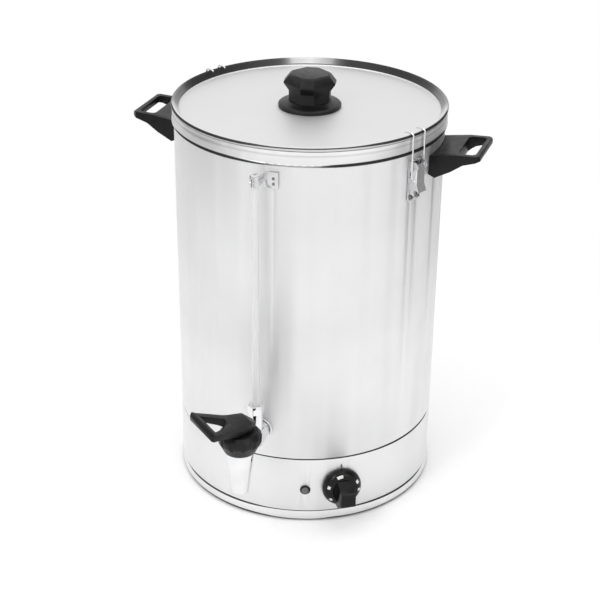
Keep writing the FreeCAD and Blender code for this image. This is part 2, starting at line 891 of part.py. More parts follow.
# Neon lamp
def make_lamp():
    azimuth = size("lamp_azimuth")
    height = size("lamp_height")
    seat = body_radius + wall_gap
    radius = size("lamp_radius")
    body = cylinder(radius, size("lamp_depth"), (seat - size("lamp_depth"), 0, height), "x")
    keep("lamp_body", aim(group([body]), azimuth))
    thickness = size("lamp_bezel_thickness")
    bezel = turned_outward([
        (seat, radius),
        (seat, size("lamp_bezel_radius")),
        (seat + thickness * 0.5, size("lamp_bezel_radius")),
        (seat + thickness, size("lamp_bezel_radius") - thickness * 0.5),
        (seat + thickness, radius),
    ], height)
    keep("lamp_bezel", aim(bezel, azimuth))
    lens_radius = radius - wall_gap
    reach = size("lamp_lens_reach")
    lens = turned_outward([
        (seat, 0),
        (seat, lens_radius),
        (seat + reach * 0.6, lens_radius),
        (seat + reach * 0.9, lens_radius * 0.75),
        (seat + reach, lens_radius * 0.4),
        (seat + reach, 0),
    ], height)
    keep("lamp_lens", aim(lens, azimuth))
    nut_start = inner_radius - size("lamp_nut_thickness") - size("hole_clearance") * 3
    nut = cylinder(size("lamp_nut_radius"), size("lamp_nut_thickness"), (nut_start, 0, height), "x")
    bore = cylinder(radius + wall_gap, Size(12), (nut_start - 4, 0, height), "x")
    panel_nuts.append(aim(cut(nut, [bore]), azimuth))


# Boil-dry cut-out with its reset button
def make_cutout():
    azimuth = size("cutout_azimuth")
    height = size("cutout_height")
    front = inner_radius - size("cutout_inset")
    back = front - size("cutout_length")
    can = cylinder(size("cutout_radius"), size("cutout_length"), (back, 0, height), "x")
    reach = body_radius + size("cutout_bush_reach") - front
    bush = cylinder(size("cutout_bush_radius"), reach, (front, 0, height), "x")
    button_back = body_radius - size("button_depth")
    well = button_back - size("button_travel") - 1
    bore = cylinder(size("button_radius") + running_clearance, Size(40), (well, 0, height), "x")
    keep("cutout_body", aim(cut(fuse([can, bush]), [bore]), azimuth))
    start = body_radius + wall_gap
    nut = hexagon(size("cutout_nut_flats"), size("cutout_nut_thickness"), (start, 0, height))
    nut_bore = cylinder(size("cutout_bush_radius") + wall_gap, Size(20), (start - 5, 0, height), "x")
    panel_nuts.append(aim(cut(nut, [nut_bore]), azimuth))
    length = size("button_depth") + size("button_reach")
    tip = body_radius + size("button_reach")
    button = turned_outward([
        (button_back, 0),
        (button_back, size("button_radius")),
        (button_back + length - 1, size("button_radius")),
        (tip, size("button_radius") - 1),
        (tip, 0),
    ], height)
    keep("reset_button", aim(button, azimuth))


# Cord gland, terminals and earth
def make_wiring():
    azimuth = size("gland_azimuth")
    height = size("gland_height")
    seat = body_radius + wall_gap
    flange = size("gland_flange_thickness")
    shell = turned_outward([
        (seat - size("gland_inside"), size("gland_bore_radius")),
        (seat - size("gland_inside"), size("gland_radius")),
        (seat, size("gland_radius")),
        (seat, size("gland_flange_radius")),
        (seat + flange - 1, size("gland_flange_radius")),
        (seat + flange, size("gland_flange_radius") - 1),
        (seat + flange, size("gland_radius")),
        (seat + size("gland_reach"), size("gland_tip_radius")),
        (seat + size("gland_reach"), size("gland_bore_radius")),
    ], height)
    keep("cord_gland", aim(shell, azimuth))
    nut_start = inner_radius - size("gland_nut_thickness") - 0.7
    nut = hexagon(size("gland_nut_flats"), size("gland_nut_thickness"), (nut_start, 0, height))
    bore = cylinder(size("gland_radius") + wall_gap, Size(20), (nut_start - 5, 0, height), "x")
    keep("cord_gland_nut", aim(cut(nut, [bore]), azimuth))
    circle = size("block_circle")
    block = box(size("block_depth"), size("block_width"), size("block_height"),
                (circle - size("block_depth") / 2, 0, plate_high))
    top = plate_high + size("block_height")
    deep = size("block_screw_depth")
    wells = [cylinder(size("block_screw_radius") + wall_gap, deep + 4, (circle, offset, top - deep))
             for offset in terminal_offsets()]
    keep("terminal_block", aim(cut(block, wells), azimuth))
    screws = [cylinder(size("block_screw_radius"), deep - 1, (circle, offset, top - deep))
              for offset in terminal_offsets()]
    keep("terminal_screws", aim(group(screws), azimuth))
    earth = cylinder(size("earth_radius"), size("earth_length"), (size("earth_circle"), 0, plate_low))
    head = hexagon(Size(8), Size(3), (size("earth_circle"), 0, plate_low - 3), "z")
    stud = aim(fuse([earth, head]), size("earth_azimuth"))
    earth_nut = hexagon(Size(8), size("earth_nut_thickness"), (size("earth_circle"), 0, plate_high), "z")
    bore = cylinder(size("earth_radius") + wall_gap, Size(20), (size("earth_circle"), 0, plate_low))
    keep("earth_terminal", group([stud, aim(cut(earth_nut, [bore]), size("earth_azimuth"))]))


def terminal_offsets():
    pitch = size("block_screw_pitch")
    return (-pitch, ZERO, pitch)


# Handles
def make_handle(side):
    azimuth = handle_azimuths[side]
    outer = body_radius + size("handle_reach")
    half = size("handle_width") / 2
    corner = Size(4)
    inside = body_radius - 10
    gap_outer = outer - size("handle_bar")
    gap_inner = gap_outer - size("finger_gap")
    gap_half = half - size("handle_arm")
    soft = Size(3)
    top = size("handle_top")
    root_low = size("handle_root_top") - size("handle_root_drop")
    gap = [
        (gap_inner, -gap_half + soft),
        (gap_inner + soft, -gap_half),
        (gap_outer - soft, -gap_half),
        (gap_outer, -gap_half + soft),
        (gap_outer, gap_half - soft),
        (gap_outer - soft, gap_half),
        (gap_inner + soft, gap_half),
        (gap_inner, gap_half - soft),
    ]
    plan = plan_plate([
        (inside, -half),
        (outer - corner, -half),
        (outer, -half + corner),
        (outer, half - corner),
        (outer - corner, half),
        (inside, half),
    ], root_low - 5, Size(60), [gap])
    profile = side_plate([
        (inside, root_low + 6),
        (body_radius + 3, root_low),
        (body_radius + 19, root_low + 8.5),
        (gap_inner + 7, top - size("handle_bar_height") - 5.5),
        (outer, top - size("handle_bar_height")),
        (outer, top - 1.5),
        (outer - 1.5, top),
        (gap_inner, top - 1),
        (inside, size("handle_root_top") - 1),
    ], half * 2 + 10)
    seat = cylinder(body_radius + size("handle_fit"), Size(80), (0, 0, root_low - 10))
    bite = body_radius + size("handle_bolt_bite")
    start = body_radius - 12
    holes = bolt_row(size("handle_bolt_radius") + wall_gap, bite - start + 1, start)
    shape = cut(common([plan, profile]), [seat])
    keep("handle_" + side, aim(cut(shape, holes), azimuth))


def make_handle_bolts():
    bolts = []
    washers = []
    half = size("handle_bolt_spacing") / 2
    height = size("handle_bolt_height")
    wall_at_bolt = root(inner_radius * inner_radius - half * half)
    seat = wall_at_bolt - size("bolt_washer_seat")
    start = seat - size("bolt_head_thickness")
    for azimuth in handle_azimuths.values():
        shanks = bolt_row(size("handle_bolt_radius"), body_radius + size("handle_bolt_bite") - start, start)
        heads = bolt_row(size("bolt_head_radius"), size("bolt_head_thickness"), start)
        for shank, head in zip(shanks, heads):
            bolts.append(aim(fuse([shank, head]), azimuth))
        for side in (-1, 1):
            at = (seat, side * half, height)
            washer = cylinder(size("bolt_washer_radius"), size("bolt_washer_thickness"), at, "x")
            bore = cylinder(size("handle_bolt_radius") + wall_gap, Size(12), (seat - 4, side * half, height), "x")
            washers.append(aim(cut(washer, [bore]), azimuth))
    keep("handle_bolts", group(bolts))
    keep("handle_washers", group(washers))


# Latches: a plate riveted to the wall, a lever on its ears and a wire bail that hooks over the lid's bead
pivot_x = body_radius + size("latch_pivot_stand")
pivot_z = latch_pivot_height
bail_x = pivot_x - size("bail_pivot_inset")
bail_z = pivot_z - size("bail_pivot_drop")
ear_inner = size("lever_half_width") + size("lever_ear_gap")
ear_outer = ear_inner + size("latch_ear_thickness")


def side_hole(radius, x, z):
    """A hole across the width, through every wall of a latch piece."""
    return cylinder(radius, Size(40), (x, Size(-20), z), "y")


def make_latch_plate(side, azimuth):
    start = body_radius + wall_gap
    low = latch_plate_low
    high = latch_pivot_height + size("latch_plate_rise")
    half = size("latch_plate_width") / 2
    front = start + size("latch_plate_thickness")
    backing = box(size("latch_plate_thickness"), size("latch_plate_width"), high - low, (start, 0, low))
    ears = []
    for sign in (-1, 1):
        reach = size("latch_ear_radius")
        outline = [
            (front - 0.5, pivot_z - reach - 2),
            (pivot_x + reach * 0.3, pivot_z - reach),
            (pivot_x + reach, pivot_z - reach * 0.3),
            (pivot_x + reach, pivot_z + reach * 0.3),
            (pivot_x + reach * 0.3, pivot_z + reach),
            (front - 0.5, pivot_z + reach),
        ]
        middle = (ear_inner + ear_outer) / 2 * sign
        ears.append(side_plate(outline, size("latch_ear_thickness"), middle))
    holes = [side_hole(size("latch_pin_radius") + wall_gap, pivot_x, pivot_z)]
    holes += rivet_shanks(Size(12), start - 4, size("rivet_radius") * 0.6 + wall_gap)
    corners = []
    for sign in (-1, 1):
        corners.append(box(Size(6), Size(4), Size(4), (start - 2, half * sign, low - 2)))
    keep("latch_plate_" + side, aim(cut(fuse([backing] + ears), holes + corners), azimuth))
    pin = cylinder(size("latch_pin_radius"), ear_outer * 2, (pivot_x, -ear_outer, pivot_z), "y")
    latch_pins.append(aim(group([pin]), azimuth))
    shank_start = inner_radius - 1
    for index, shank in enumerate(rivet_shanks(front - shank_start + 0.5, shank_start, size("rivet_radius") * 0.6)):
        offset = size("rivet_spacing") / 2 * (-1, 1)[index]
        head = cone(size("rivet_radius"), size("rivet_radius") * 0.55, size("rivet_height"), (front, offset, rivet_low), "x")
        tail = cylinder(size("rivet_radius"), Size(0.8), (shank_start - 0.8, offset, rivet_low), "x")
        wall_rivets.append(aim(fuse([shank, head, tail]), azimuth))


def make_latch_lever(side, azimuth):
    front = pivot_x + size("lever_front")
    back = pivot_x - size("lever_back")
    tip = pivot_z - size("lever_drop")
    high = pivot_z + size("lever_front")
    sheet_gauge = size("lever_sheet")
    half = size("lever_half_width")
    outline = [
        (back, bail_z - 4),
        (front - 0.6, bail_z - 7),
        (front + size("lever_lip") - 1, tip),
        (front + size("lever_lip"), tip + 0.6),
        (front, bail_z - 6),
        (front, high - 1.4),
        (front - 1.4, high),
        (back + 1.4, high),
        (back, high - 1.4),
    ]
    solid = side_plate(outline, half * 2)
    room = side_plate([
        (back - 5, tip - 5),
        (front - sheet_gauge - 0.6, tip - 5),
        (front - sheet_gauge - 0.6, bail_z - 7),
        (front - sheet_gauge, bail_z - 6),
        (front - sheet_gauge, high + 5),
        (back - 5, high + 5),
    ], half * 2 - sheet_gauge * 2)
    pin_hole = side_hole(size("latch_pin_radius") + running_clearance, pivot_x, pivot_z)
    wire_hole = side_hole(size("wire_radius") + running_clearance, bail_x, bail_z)
    keep("latch_lever_" + side, aim(cut(cut(solid, [room]), [pin_hole, wire_hole]), azimuth))


def make_bail(side, azimuth):
    """The bail's wire, as straight runs and arcs: cross bar, two legs and a hook at the end of each."""
    radius = size("wire_radius").value
    half = size("wire_half_spacing").value
    across = bail_x.value
    low = bail_z.value
    bead_top = (rim_height + size("lid_rest_gap") + size("lid_bead_radius") * 2).value
    bead_x = (band_radius + 0.8 - size("lid_bead_radius")).value
    leg_x = bead_x + size("lid_bead_radius").value + size("hook_clearance").value + radius + 0.5
    over = bead_top + size("hook_clearance").value + radius
    inner = bead_x - size("hook_inset").value
    lip = bead_top - size("hook_lip").value + radius
    bend = radius * 2.5
    tip_run = radius * 2.2
    solids = []
    for sign in (-1, 1):
        path = []
        middle = Vector(across, 0, low)
        corner = Vector(across, sign * half, low)
        top = Vector(leg_x, sign * half, over)
        end = Vector(inner, sign * half, over)
        tip = Vector(inner - tip_run, sign * half, lip)
        knots = [middle, corner, top, end, tip]
        bends = [None, bend, bend, radius * 1.5, None]
        last = middle
        for index in range(1, len(knots) - 1):
            before = (knots[index - 1] - knots[index]).normalize()
            after = (knots[index + 1] - knots[index]).normalize()
            half_turn = before.getAngle(after) / 2
            reach = min(bends[index] / math.tan(half_turn), (knots[index + 1] - knots[index]).Length * 0.6)
            inward = (before + after).normalize()
            radius_here = reach * math.tan(half_turn)
            start = knots[index] + before * reach
            finish = knots[index] + after * reach
            away = reach / math.cos(half_turn) - radius_here
            centre_way = knots[index] + inward * away
            if (start - last).Length > 1e-6:
                path.append(Part.LineSegment(last, start).toShape())
            path.append(Part.Arc(start, centre_way, finish).toShape())
            last = finish
        path.append(Part.LineSegment(last, knots[-1]).toShape())
        circle = Part.Wire([Part.Circle(middle, Vector(0, 1, 0), radius).toShape()])
        solids.append(Part.Wire(path).makePipeShell([circle], True, True))
    wire = solids[0].fuse(solids[1])
    for sign in (-1, 1):
        wire = wire.fuse(Part.makeSphere(radius, Vector(inner - tip_run, sign * half, lip)))
    item = document.addObject("Part::Feature", "Bail")
    item.Shape = wire.removeSplitter()
    keep("latch_bail_" + side, aim(item, azimuth))


# Sight gauge
def clip_rivet_offsets():
    return (ZERO, size("clip_tab_drop") * 0.7)


def clip_rivet_shanks(length, start, radius):
    across = size("clip_offset") + size("gauge_radius")
    low = size("clip_height") - size("clip_tab_drop") * 0.4
    return [cylinder(radius, length, (start, across, low + offset), "x") for offset in clip_rivet_offsets()]


def make_gauge():
    radius = size("gauge_radius")
    fit = size("gauge_fit")
    boss_top = tap_height + size("tee_boss_rise")
    tube_low = boss_top - size("gland_seal_length") - 5
    tube = cylinder(radius, size("gauge_top") - tube_low, (gauge_axis, 0, tube_low))
    bore = cylinder(size("gauge_bore"), size("gauge_top"), (gauge_axis, 0, tube_low - 10))
    keep("gauge_tube", aim(cut(tube, [bore]), ZERO))

    start = tap_axis - size("tap_reach") + size("gauge_stand") - size("tee_length") / 2
    sleeve = cylinder(size("tee_radius"), size("tee_length"), (start, 0, tap_height), "x")
    boss = cylinder(size("tee_boss_radius"), size("tee_boss_rise"), (gauge_axis, 0, tap_height))
    shank_bore = cylinder(size("shank_radius") + wall_gap, Size(60), (start - 10, 0, tap_height), "x")
    seat = cylinder(radius + fit, Size(40), (gauge_axis, 0, tube_low - 0.3))
    seal_seat = cylinder(radius + 1.6 + fit, Size(40), (gauge_axis, 0, boss_top - size("gland_seal_length")))
    way = cylinder(size("gauge_bore"), Size(30), (gauge_axis, 0, tap_height))
    keep("gauge_tee", aim(cut(fuse([sleeve, boss]), [shank_bore, seat, seal_seat, way]), ZERO))

    seal = cylinder(radius + 1.6, size("gland_seal_length"), (gauge_axis, 0, boss_top - size("gland_seal_length") + wall_gap))
    seal_bore = cylinder(radius + wall_gap, Size(30), (gauge_axis, 0, boss_top - 15))
    keep("gauge_seal", aim(cut(seal, [seal_bore]), ZERO))

    lip = size("gauge_nut_lip")
    nut_low = boss_top + lip + wall_gap * 2 - size("gauge_nut_length")
    nut = hexagon(size("gauge_nut_radius") * 1.8, size("gauge_nut_length"), (gauge_axis, 0, nut_low), "z")
    cavity = cylinder(size("tee_boss_radius") + wall_gap, size("gauge_nut_length") - lip, (gauge_axis, 0, nut_low))
    through = cylinder(radius + fit, Size(40), (gauge_axis, 0, nut_low - 5))
    keep("gauge_gland_nut", aim(cut(nut, [cavity, through]), ZERO))

    wall = size("clip_wall")
    low = size("clip_height")
    length = size("clip_length")
    tab_x = body_radius + wall_gap
    across = size("clip_offset") + radius
    width = size("clip_tab_width")
    ring = cylinder(radius + fit + wall, length, (gauge_axis, 0, low))
    arm_start = tab_x
    arm = box(gauge_axis - arm_start, wall, length, (arm_start, radius + fit + wall / 2, low))
    tab = box(wall, width + size("clip_offset") - radius, length + size("clip_tab_drop"),
              (tab_x, radius + fit + (width + size("clip_offset") - radius) / 2, low - size("clip_tab_drop")))
    lug = box(Size(6), Size(2.4), length, (gauge_axis + 3, 0, low))
    ring_bore = cylinder(radius + fit, Size(40), (gauge_axis, 0, low - 5))
    slit = box(Size(12), Size(0.6), Size(30), (gauge_axis, 0, low - 5))
    holes = clip_rivet_shanks(Size(12), tab_x - 4, size("clip_rivet_radius") * 0.6 + wall_gap)
    screw_x = gauge_axis + radius + fit + wall + 2
    screw_hole = cylinder(size("clip_screw_radius") * 0.6 + wall_gap, Size(20), (screw_x, Size(-10), low + length / 2), "y")
    keep("gauge_clip", aim(cut(fuse([ring, arm, tab, lug]), [group([ring_bore]), group([slit])] + holes + [screw_hole]), ZERO))
    screw = cylinder(size("clip_screw_radius") * 0.6, Size(4.4), (screw_x, Size(-2.2), low + length / 2), "y")
    head = cylinder(size("clip_screw_radius"), Size(1.4), (screw_x, Size(-2.6), low + length / 2), "y")
    keep("gauge_clip_screw", aim(fuse([screw, head]), ZERO))
    shank_start = inner_radius - 1.5
    shanks = clip_rivet_shanks(tab_x + wall - shank_start + 0.4, shank_start, size("clip_rivet_radius") * 0.6)
    rivet_low_clip = low - size("clip_tab_drop") * 0.4
    for shank, offset in zip(shanks, clip_rivet_offsets()):
        at = (tab_x + wall, across, rivet_low_clip + offset)
        cap = cone(size("clip_rivet_radius"), size("clip_rivet_radius") * 0.6, Size(0.9), at, "x")
        wall_rivets.append(aim(fuse([shank, cap]), ZERO))


# Tap
bonnet_low = tap_height + size("inlet_radius") + size("bonnet_gap")
bonnet_high = bonnet_low + size("bonnet_height")
seat_height = tap_height - size("seat_drop")
cavity_high = bonnet_high - size("bonnet_roof")
lever_pivot = bonnet_high + size("lever_pivot_rise")
neck_high = bonnet_low + size("barrel_neck_rise")


def make_tap_body():
    radius = size("barrel_radius")
    barrel = turned([
        (size("spout_bore"), tap_height - size("spout_drop")),
        (size("spout_radius"), tap_height - size("spout_drop")),
        (radius, tap_height + 2),
        (radius, bonnet_low - 0.3),
        (size("barrel_neck_radius"), bonnet_low - 0.3),
        (size("barrel_neck_radius"), neck_high),
        (size("chamber_radius"), neck_high),
        (size("chamber_radius"), seat_height),
        (size("spout_bore"), seat_height),
    ])
    put(barrel, (tap_axis, 0, 0))
    joint = body_radius + size("tap_reach") - radius - 14
    inlet = cylinder(size("inlet_radius"), tap_axis - joint - 4, (joint, 0, tap_height), "x")
    outside = cylinder(size("chamber_radius") + 1, Size(60), (tap_axis, 0, tap_height - 30))
    socket = cylinder(size("shank_radius") + wall_gap, Size(10), (joint - 1, 0, tap_height), "x")
    way = cylinder(size("shank_bore"), tap_axis - joint, (joint, 0, tap_height), "x")
    keep("tap_body", aim(cut(fuse([barrel, cut(inlet, [outside])]), [socket, way]), ZERO))

    start = inner_radius - size("shank_inside")
    shank = cylinder(size("shank_radius"), joint + 8.8 - start, (start, 0, tap_height), "x")
    bore = cylinder(size("shank_bore"), Size(100), (start - 5, 0, tap_height), "x")
    port = cylinder(size("gauge_bore"), Size(20), (gauge_axis, 0, tap_height))
    keep("tap_shank", aim(cut(shank, [bore, port]), ZERO))

    collar_start = body_radius + wall_gap
    collar = cylinder(size("collar_radius"), size("collar_thickness"), (collar_start, 0, tap_height), "x")
    collar_bore = cylinder(size("shank_radius") + wall_gap, Size(20), (collar_start - 5, 0, tap_height), "x")
    keep("shank_collar", aim(cut(collar, [collar_bore]), ZERO))
    seal_end = inner_radius - size("seal_inset") * 0.6
    seal_start = seal_end - size("seal_thickness")
    seal = cylinder(size("collar_radius"), size("seal_thickness"), (seal_start, 0, tap_height), "x")
    seal_bore = cylinder(size("shank_radius") + wall_gap, Size(20), (seal_start - 5, 0, tap_height), "x")
    keep("shank_seal", aim(cut(seal, [seal_bore]), ZERO))
    nut_start = seal_start - size("lock_nut_thickness")
    nut = hexagon(size("lock_nut_flats"), size("lock_nut_thickness"), (nut_start, 0, tap_height))
    nut_bore = cylinder(size("shank_radius") + wall_gap, Size(20), (nut_start - 5, 0, tap_height), "x")
    keep("shank_lock_nut", aim(cut(nut, [nut_bore]), ZERO))


def make_bonnet():
    radius = size("bonnet_radius")
    neck = size("barrel_neck_radius") + wall_gap
    cap = turned([
        (neck, bonnet_low),
        (size("bonnet_foot_radius"), bonnet_low),
        (radius - 1, bonnet_low + size("bonnet_foot_rise")),
        (radius, bonnet_low + size("bonnet_foot_rise") + 2),
        (radius, bonnet_high - 5),
        (radius - 4, bonnet_high),
        (size("stem_radius") + running_clearance, bonnet_high),
        (size("stem_radius") + running_clearance, cavity_high),
        (size("chamber_radius"), cavity_high),
        (size("chamber_radius"), neck_high + 0.3),
        (neck, neck_high + 0.3),
    ])
    count = int(size("flute_count").value)
    flutes = []
    for index in range(count):
        flute = cylinder(size("flute_radius"), size("bonnet_height") + 2,
                         (radius + size("flute_radius") * 0.55, 0, bonnet_low - 1))
        flutes.append(aim(group([flute]), Size(360.0 * index / count)))
    shaped = put(cut(cap, flutes), (tap_axis, 0, 0))
    keep("tap_bonnet", aim(group([shaped]), ZERO))


def on_tap_axis(label, item):
    """Move an item drawn about the origin to the tap's axis, and keep it."""
    put(item, (tap_axis, 0, 0))
    keep(label, aim(group([item]), ZERO))


def make_stem():
    radius = size("stem_radius")
    shoulder = seat_height + size("cup_height") + 1
    thin = radius * 0.6
    rod = turned([
        (0, seat_height + size("cup_wall") + 1),
        (thin, seat_height + size("cup_wall") + 1),
        (thin, shoulder),
        (size("stem_shoulder"), shoulder),
        (size("stem_shoulder"), shoulder + 2),
        (radius, shoulder + 2),
        (radius, lever_pivot + 3),
        (0, lever_pivot + 3),
    ])
    eye = side_hole(size("tap_pin_radius") + running_clearance, Size(0), lever_pivot)
    shaped = cut(rod, [eye])
    turn_to_lever("tap_stem", shaped)
    outer = size("cup_radius")
    cup = turned([
        (0, seat_height + wall_gap),
        (outer - 1.5, seat_height + wall_gap),
        (outer, seat_height + 1.5),
        (outer, seat_height + size("cup_height")),
        (thin + wall_gap, seat_height + size("cup_height")),
        (thin + wall_gap, seat_height + size("cup_wall")),
        (0, seat_height + size("cup_wall")),
    ])
    on_tap_axis("tap_seat_cup", cup)
    make_spring(shoulder + 2)


def make_spring(low):
    """The stem's return spring: one wire wound up from the shoulder to the bonnet's roof."""
    wire = size("spring_wire").value
    coil_low = low.value + wire + 0.1
    height = cavity_high.value - wire - 0.1 - coil_low
    pitch = height / size("spring_coils").value
    radius = size("spring_radius").value
    helix = Part.makeHelix(pitch, height, radius)
    helix.translate(Vector(0, 0, coil_low))
    section = Part.Wire([Part.Circle(Vector(radius, 0, coil_low), Vector(0, 1, 0), wire).toShape()])
    solid = Part.Wire(helix.Edges).makePipeShell([section], True, True)
    item = document.addObject("Part::Feature", "Spring")
    item.Shape = solid
    on_tap_axis("tap_spring", item)


def turn_to_lever(label, item):
    """Turn an item drawn along +X about the tap's axis to the lever's azimuth, and keep it."""
    turned_item = group([item])
    turned_item.Placement = Placement(Vector(tap_axis.value, 0, 0), Rotation(UP, size("tap_lever_azimuth").value))
    bind(turned_item, "Placement.Base.x", tap_axis)
    bind(turned_item, "Placement.Rotation.Angle", size("tap_lever_azimuth"))
    keep(label, aim(group([turned_item]), ZERO))


def make_tap_lever():
    washer = cylinder(size("washer_radius"), size("washer_thickness"), (0, 0, bonnet_high + 0.2))
    washer_bore = cylinder(size("stem_radius") + running_clearance, Size(12), (0, 0, bonnet_high - 4))
    on_tap_axis("tap_swivel_washer", cut(washer, [washer_bore]))

    length = size("tap_lever_length")
    half = size("tap_lever_width") / 2
    bar = size("tap_lever_bar")
    heel = -size("tap_lever_heel")
    window_low = length * 0.32
    window = [
        (window_low, Size(-7)),
        (length - bar, -half + 8),
        (length - bar, half - 8),
        (window_low, Size(7)),
    ]
    plan = plan_plate([
        (heel, Size(-4)),
        (Size(-7), Size(-11)),
        (Size(7), Size(-13.5)),
        (length - bar - 2, -half + 1.5),
        (length - 2, -half),
        (length, -half + 2),
        (length, half - 2),
        (length - 2, half),
        (length - bar - 2, half - 1.5),
        (Size(7), Size(13.5)),
        (Size(-7), Size(11)),
        (heel, Size(4)),
    ], lever_pivot - 20, Size(70), [window])
    rise = size("tap_lever_tip_rise")
    profile = side_plate([
        (heel, lever_pivot - 3.2),
        (Size(10.5), lever_pivot - 3.2),
        (Size(20), lever_pivot + 1.4),
        (length - bar, lever_pivot + rise - 8.5),
        (length, lever_pivot + rise - 7.5),
        (length + 1, lever_pivot + rise - 3),
        (length - 3, lever_pivot + rise),
        (length - bar, lever_pivot + rise - 2),
        (Size(12), lever_pivot + 8),
        (Size(-8), lever_pivot + 7),
        (heel, lever_pivot + 2),
    ], half * 2 + 10)
    slot = plan_plate([
        (Size(-6.5), -size("stem_radius") - 0.4),
        (Size(6.5), -size("stem_radius") - 0.4),
        (Size(6.5), size("stem_radius") + 0.4),
        (Size(-6.5), size("stem_radius") + 0.4),
    ], lever_pivot - 10, Size(15))
    pin_hole = cylinder(size("tap_pin_radius") + wall_gap, Size(24), (0, Size(-12), lever_pivot), "y")
    shape = cut(common([plan, profile]), [group([slot]), group([pin_hole])])
    turn_to_lever("tap_lever", shape)
    pin = cylinder(size("tap_pin_radius"), Size(23), (0, Size(-11.5), lever_pivot), "y")
    turn_to_lever("tap_lever_pin", pin)


# Lid
lid_bead_z = rim_height + size("lid_rest_gap") + size("lid_bead_radius")
lid_bead_x = band_radius + 0.8 - size("lid_bead_radius")
lid_low = lid_bead_z + size("lid_bead_radius") - size("lid_depth") - size("lid_sheet")
lid_high = lid_low + size("lid_sheet")


def make_lid():
    gauge = size("lid_sheet")
    bead = size("lid_bead_radius")
    wall_top = lid_bead_x - bead * 0.9
    wall_low = wall_top - size("lid_wall_lean")
    soft = Size(1.5)
    pan = turned([
        (0, lid_low),
        (wall_low + gauge, lid_low),
        (wall_low + gauge + soft * 0.6, lid_low + soft),
        (wall_top + gauge, lid_bead_z - bead * 0.2),
        (lid_bead_x, lid_bead_z),
        (wall_top, lid_bead_z + bead * 0.4),
        (wall_low, lid_high + soft),
        (wall_low - soft, lid_high),
        (0, lid_high),
    ])
    hole = cylinder(size("lid_screw_radius") + bolt_clearance, Size(12), (0, 0, lid_low - 5))
    rolled = torus(lid_bead_x, bead, (0, 0, lid_bead_z))
    keep("lid_pan", cut(fuse([pan, rolled]), [hole]))

    screw_end = lid_high + size("lid_screw_bite")
    washer_low = lid_low - size("lid_washer_thickness")
    head_low = washer_low - size("lid_screw_head_height")
    washer = cylinder(size("lid_washer_radius"), size("lid_washer_thickness"), (0, 0, washer_low))
    washer_bore = cylinder(size("lid_screw_radius") + wall_gap, Size(12), (0, 0, washer_low - 5))
    keep("lid_knob_washer", cut(washer, [washer_bore]))
    head = cylinder(size("lid_screw_head_radius"), size("lid_screw_head_height"), (0, 0, head_low))
    shank = cylinder(size("lid_screw_radius"), screw_end - head_low, (0, 0, head_low))
    keep("lid_knob_screw", fuse([head, shank]))


def knob_slab(waist, head, top, azimuth):
    """One pair of opposite sides of the lid knob, as a pad that runs right across it."""
    low = lid_high + size("lid_flange_edge") - 2
    flare = lid_high + size("lid_head_low")
    high = lid_high + size("lid_knob_height")
    slab = side_plate([
        (-waist, low),
        (waist, low),
        (waist, flare),
        (head, flare + 7.5),
        (head, flare + 9),
        (top, high - 1.5),
        (top - 2, high),
        (-top + 2, high),
        (-top, high - 1.5),
        (-head, flare + 9),
        (-head, flare + 7.5),
        (-waist, flare),
    ], Size(90))
    return aim(group([slab]), azimuth)


def make_lid_knob():
    azimuth = size("lid_knob_azimuth")
    cut_back = size("lid_corner_cut")
    diagonal = root(Size(2))
    waist = size("lid_waist_half")
    head = size("lid_head_half")
    top = size("lid_top_half")
    slabs = []
    for turn in (45, 135):
        slabs.append(knob_slab(waist, head, top, azimuth + turn))
    for turn in (0, 90):
        slabs.append(knob_slab(waist * diagonal - cut_back, head * diagonal - cut_back,
                               top * diagonal - cut_back, azimuth + turn))
    radius = size("lid_flange_radius")
    edge = lid_high + size("lid_flange_edge")
    rise = lid_high + size("lid_flange_rise")
    flange = turned([
        (0, lid_high),
        (radius, lid_high),
        (radius, edge - 1),
        (radius - 1.2, edge),
        (size("lid_waist_half") + 4, rise - 1),
        (size("lid_waist_half") + 2.5, rise),
        (0, rise),
    ])
    bore = cylinder(size("lid_screw_radius") + wall_gap, size("lid_screw_bite") + 3, (0, 0, lid_high - 2))
    keep("lid_knob", cut(fuse([flange, common(slabs)]), [bore]))


make_tank_shell()
make_tank_floor()
make_base_housing()
make_base_ring()
make_base_plate()
make_feet()
make_heating()
make_thermostat()
make_control_knob()
make_lamp()
make_cutout()
make_wiring()
for handle_side in handle_azimuths:
    make_handle(handle_side)
make_handle_bolts()
for latch_side, latch_turn in latch_azimuths.items():
    make_latch_plate(latch_side, latch_turn)
    make_latch_lever(latch_side, latch_turn)
    make_bail(latch_side, latch_turn)
make_gauge()
make_tap_body()
make_bonnet()
make_stem()
make_tap_lever()
make_lid()
make_lid_knob()
keep("panel_nuts", group(panel_nuts))
keep("latch_pins", group(latch_pins))
keep("wall_rivets", group(wall_rivets))

document.recompute()

# Nothing is written unless every object is sound
faults = []
for item in document.Objects:
    if "Invalid" in item.State or "Error" in item.State:
        faults.append("%s (%s): %s" % (item.Name, item.Label, item.State))
for piece in pieces:
    if piece.Shape.isNull() or not piece.Shape.isValid() or not piece.Shape.Solids:
        faults.append("%s has no sound solid" % piece.Label)
if faults:
    raise SystemExit("\n".join(faults))

os.makedirs("parts", exist_ok=True)
for piece in pieces:
    piece.Shape.exportStep("parts/%s.step" % piece.Label)
    print("%-22s %2d solids %10.1f mm3" % (piece.Label, len(piece.Shape.Solids), piece.Shape.Volume))
print("%d pieces" % len(pieces))
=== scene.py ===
import json
import math

import bmesh
import bpy
from mathutils import Matrix, Vector


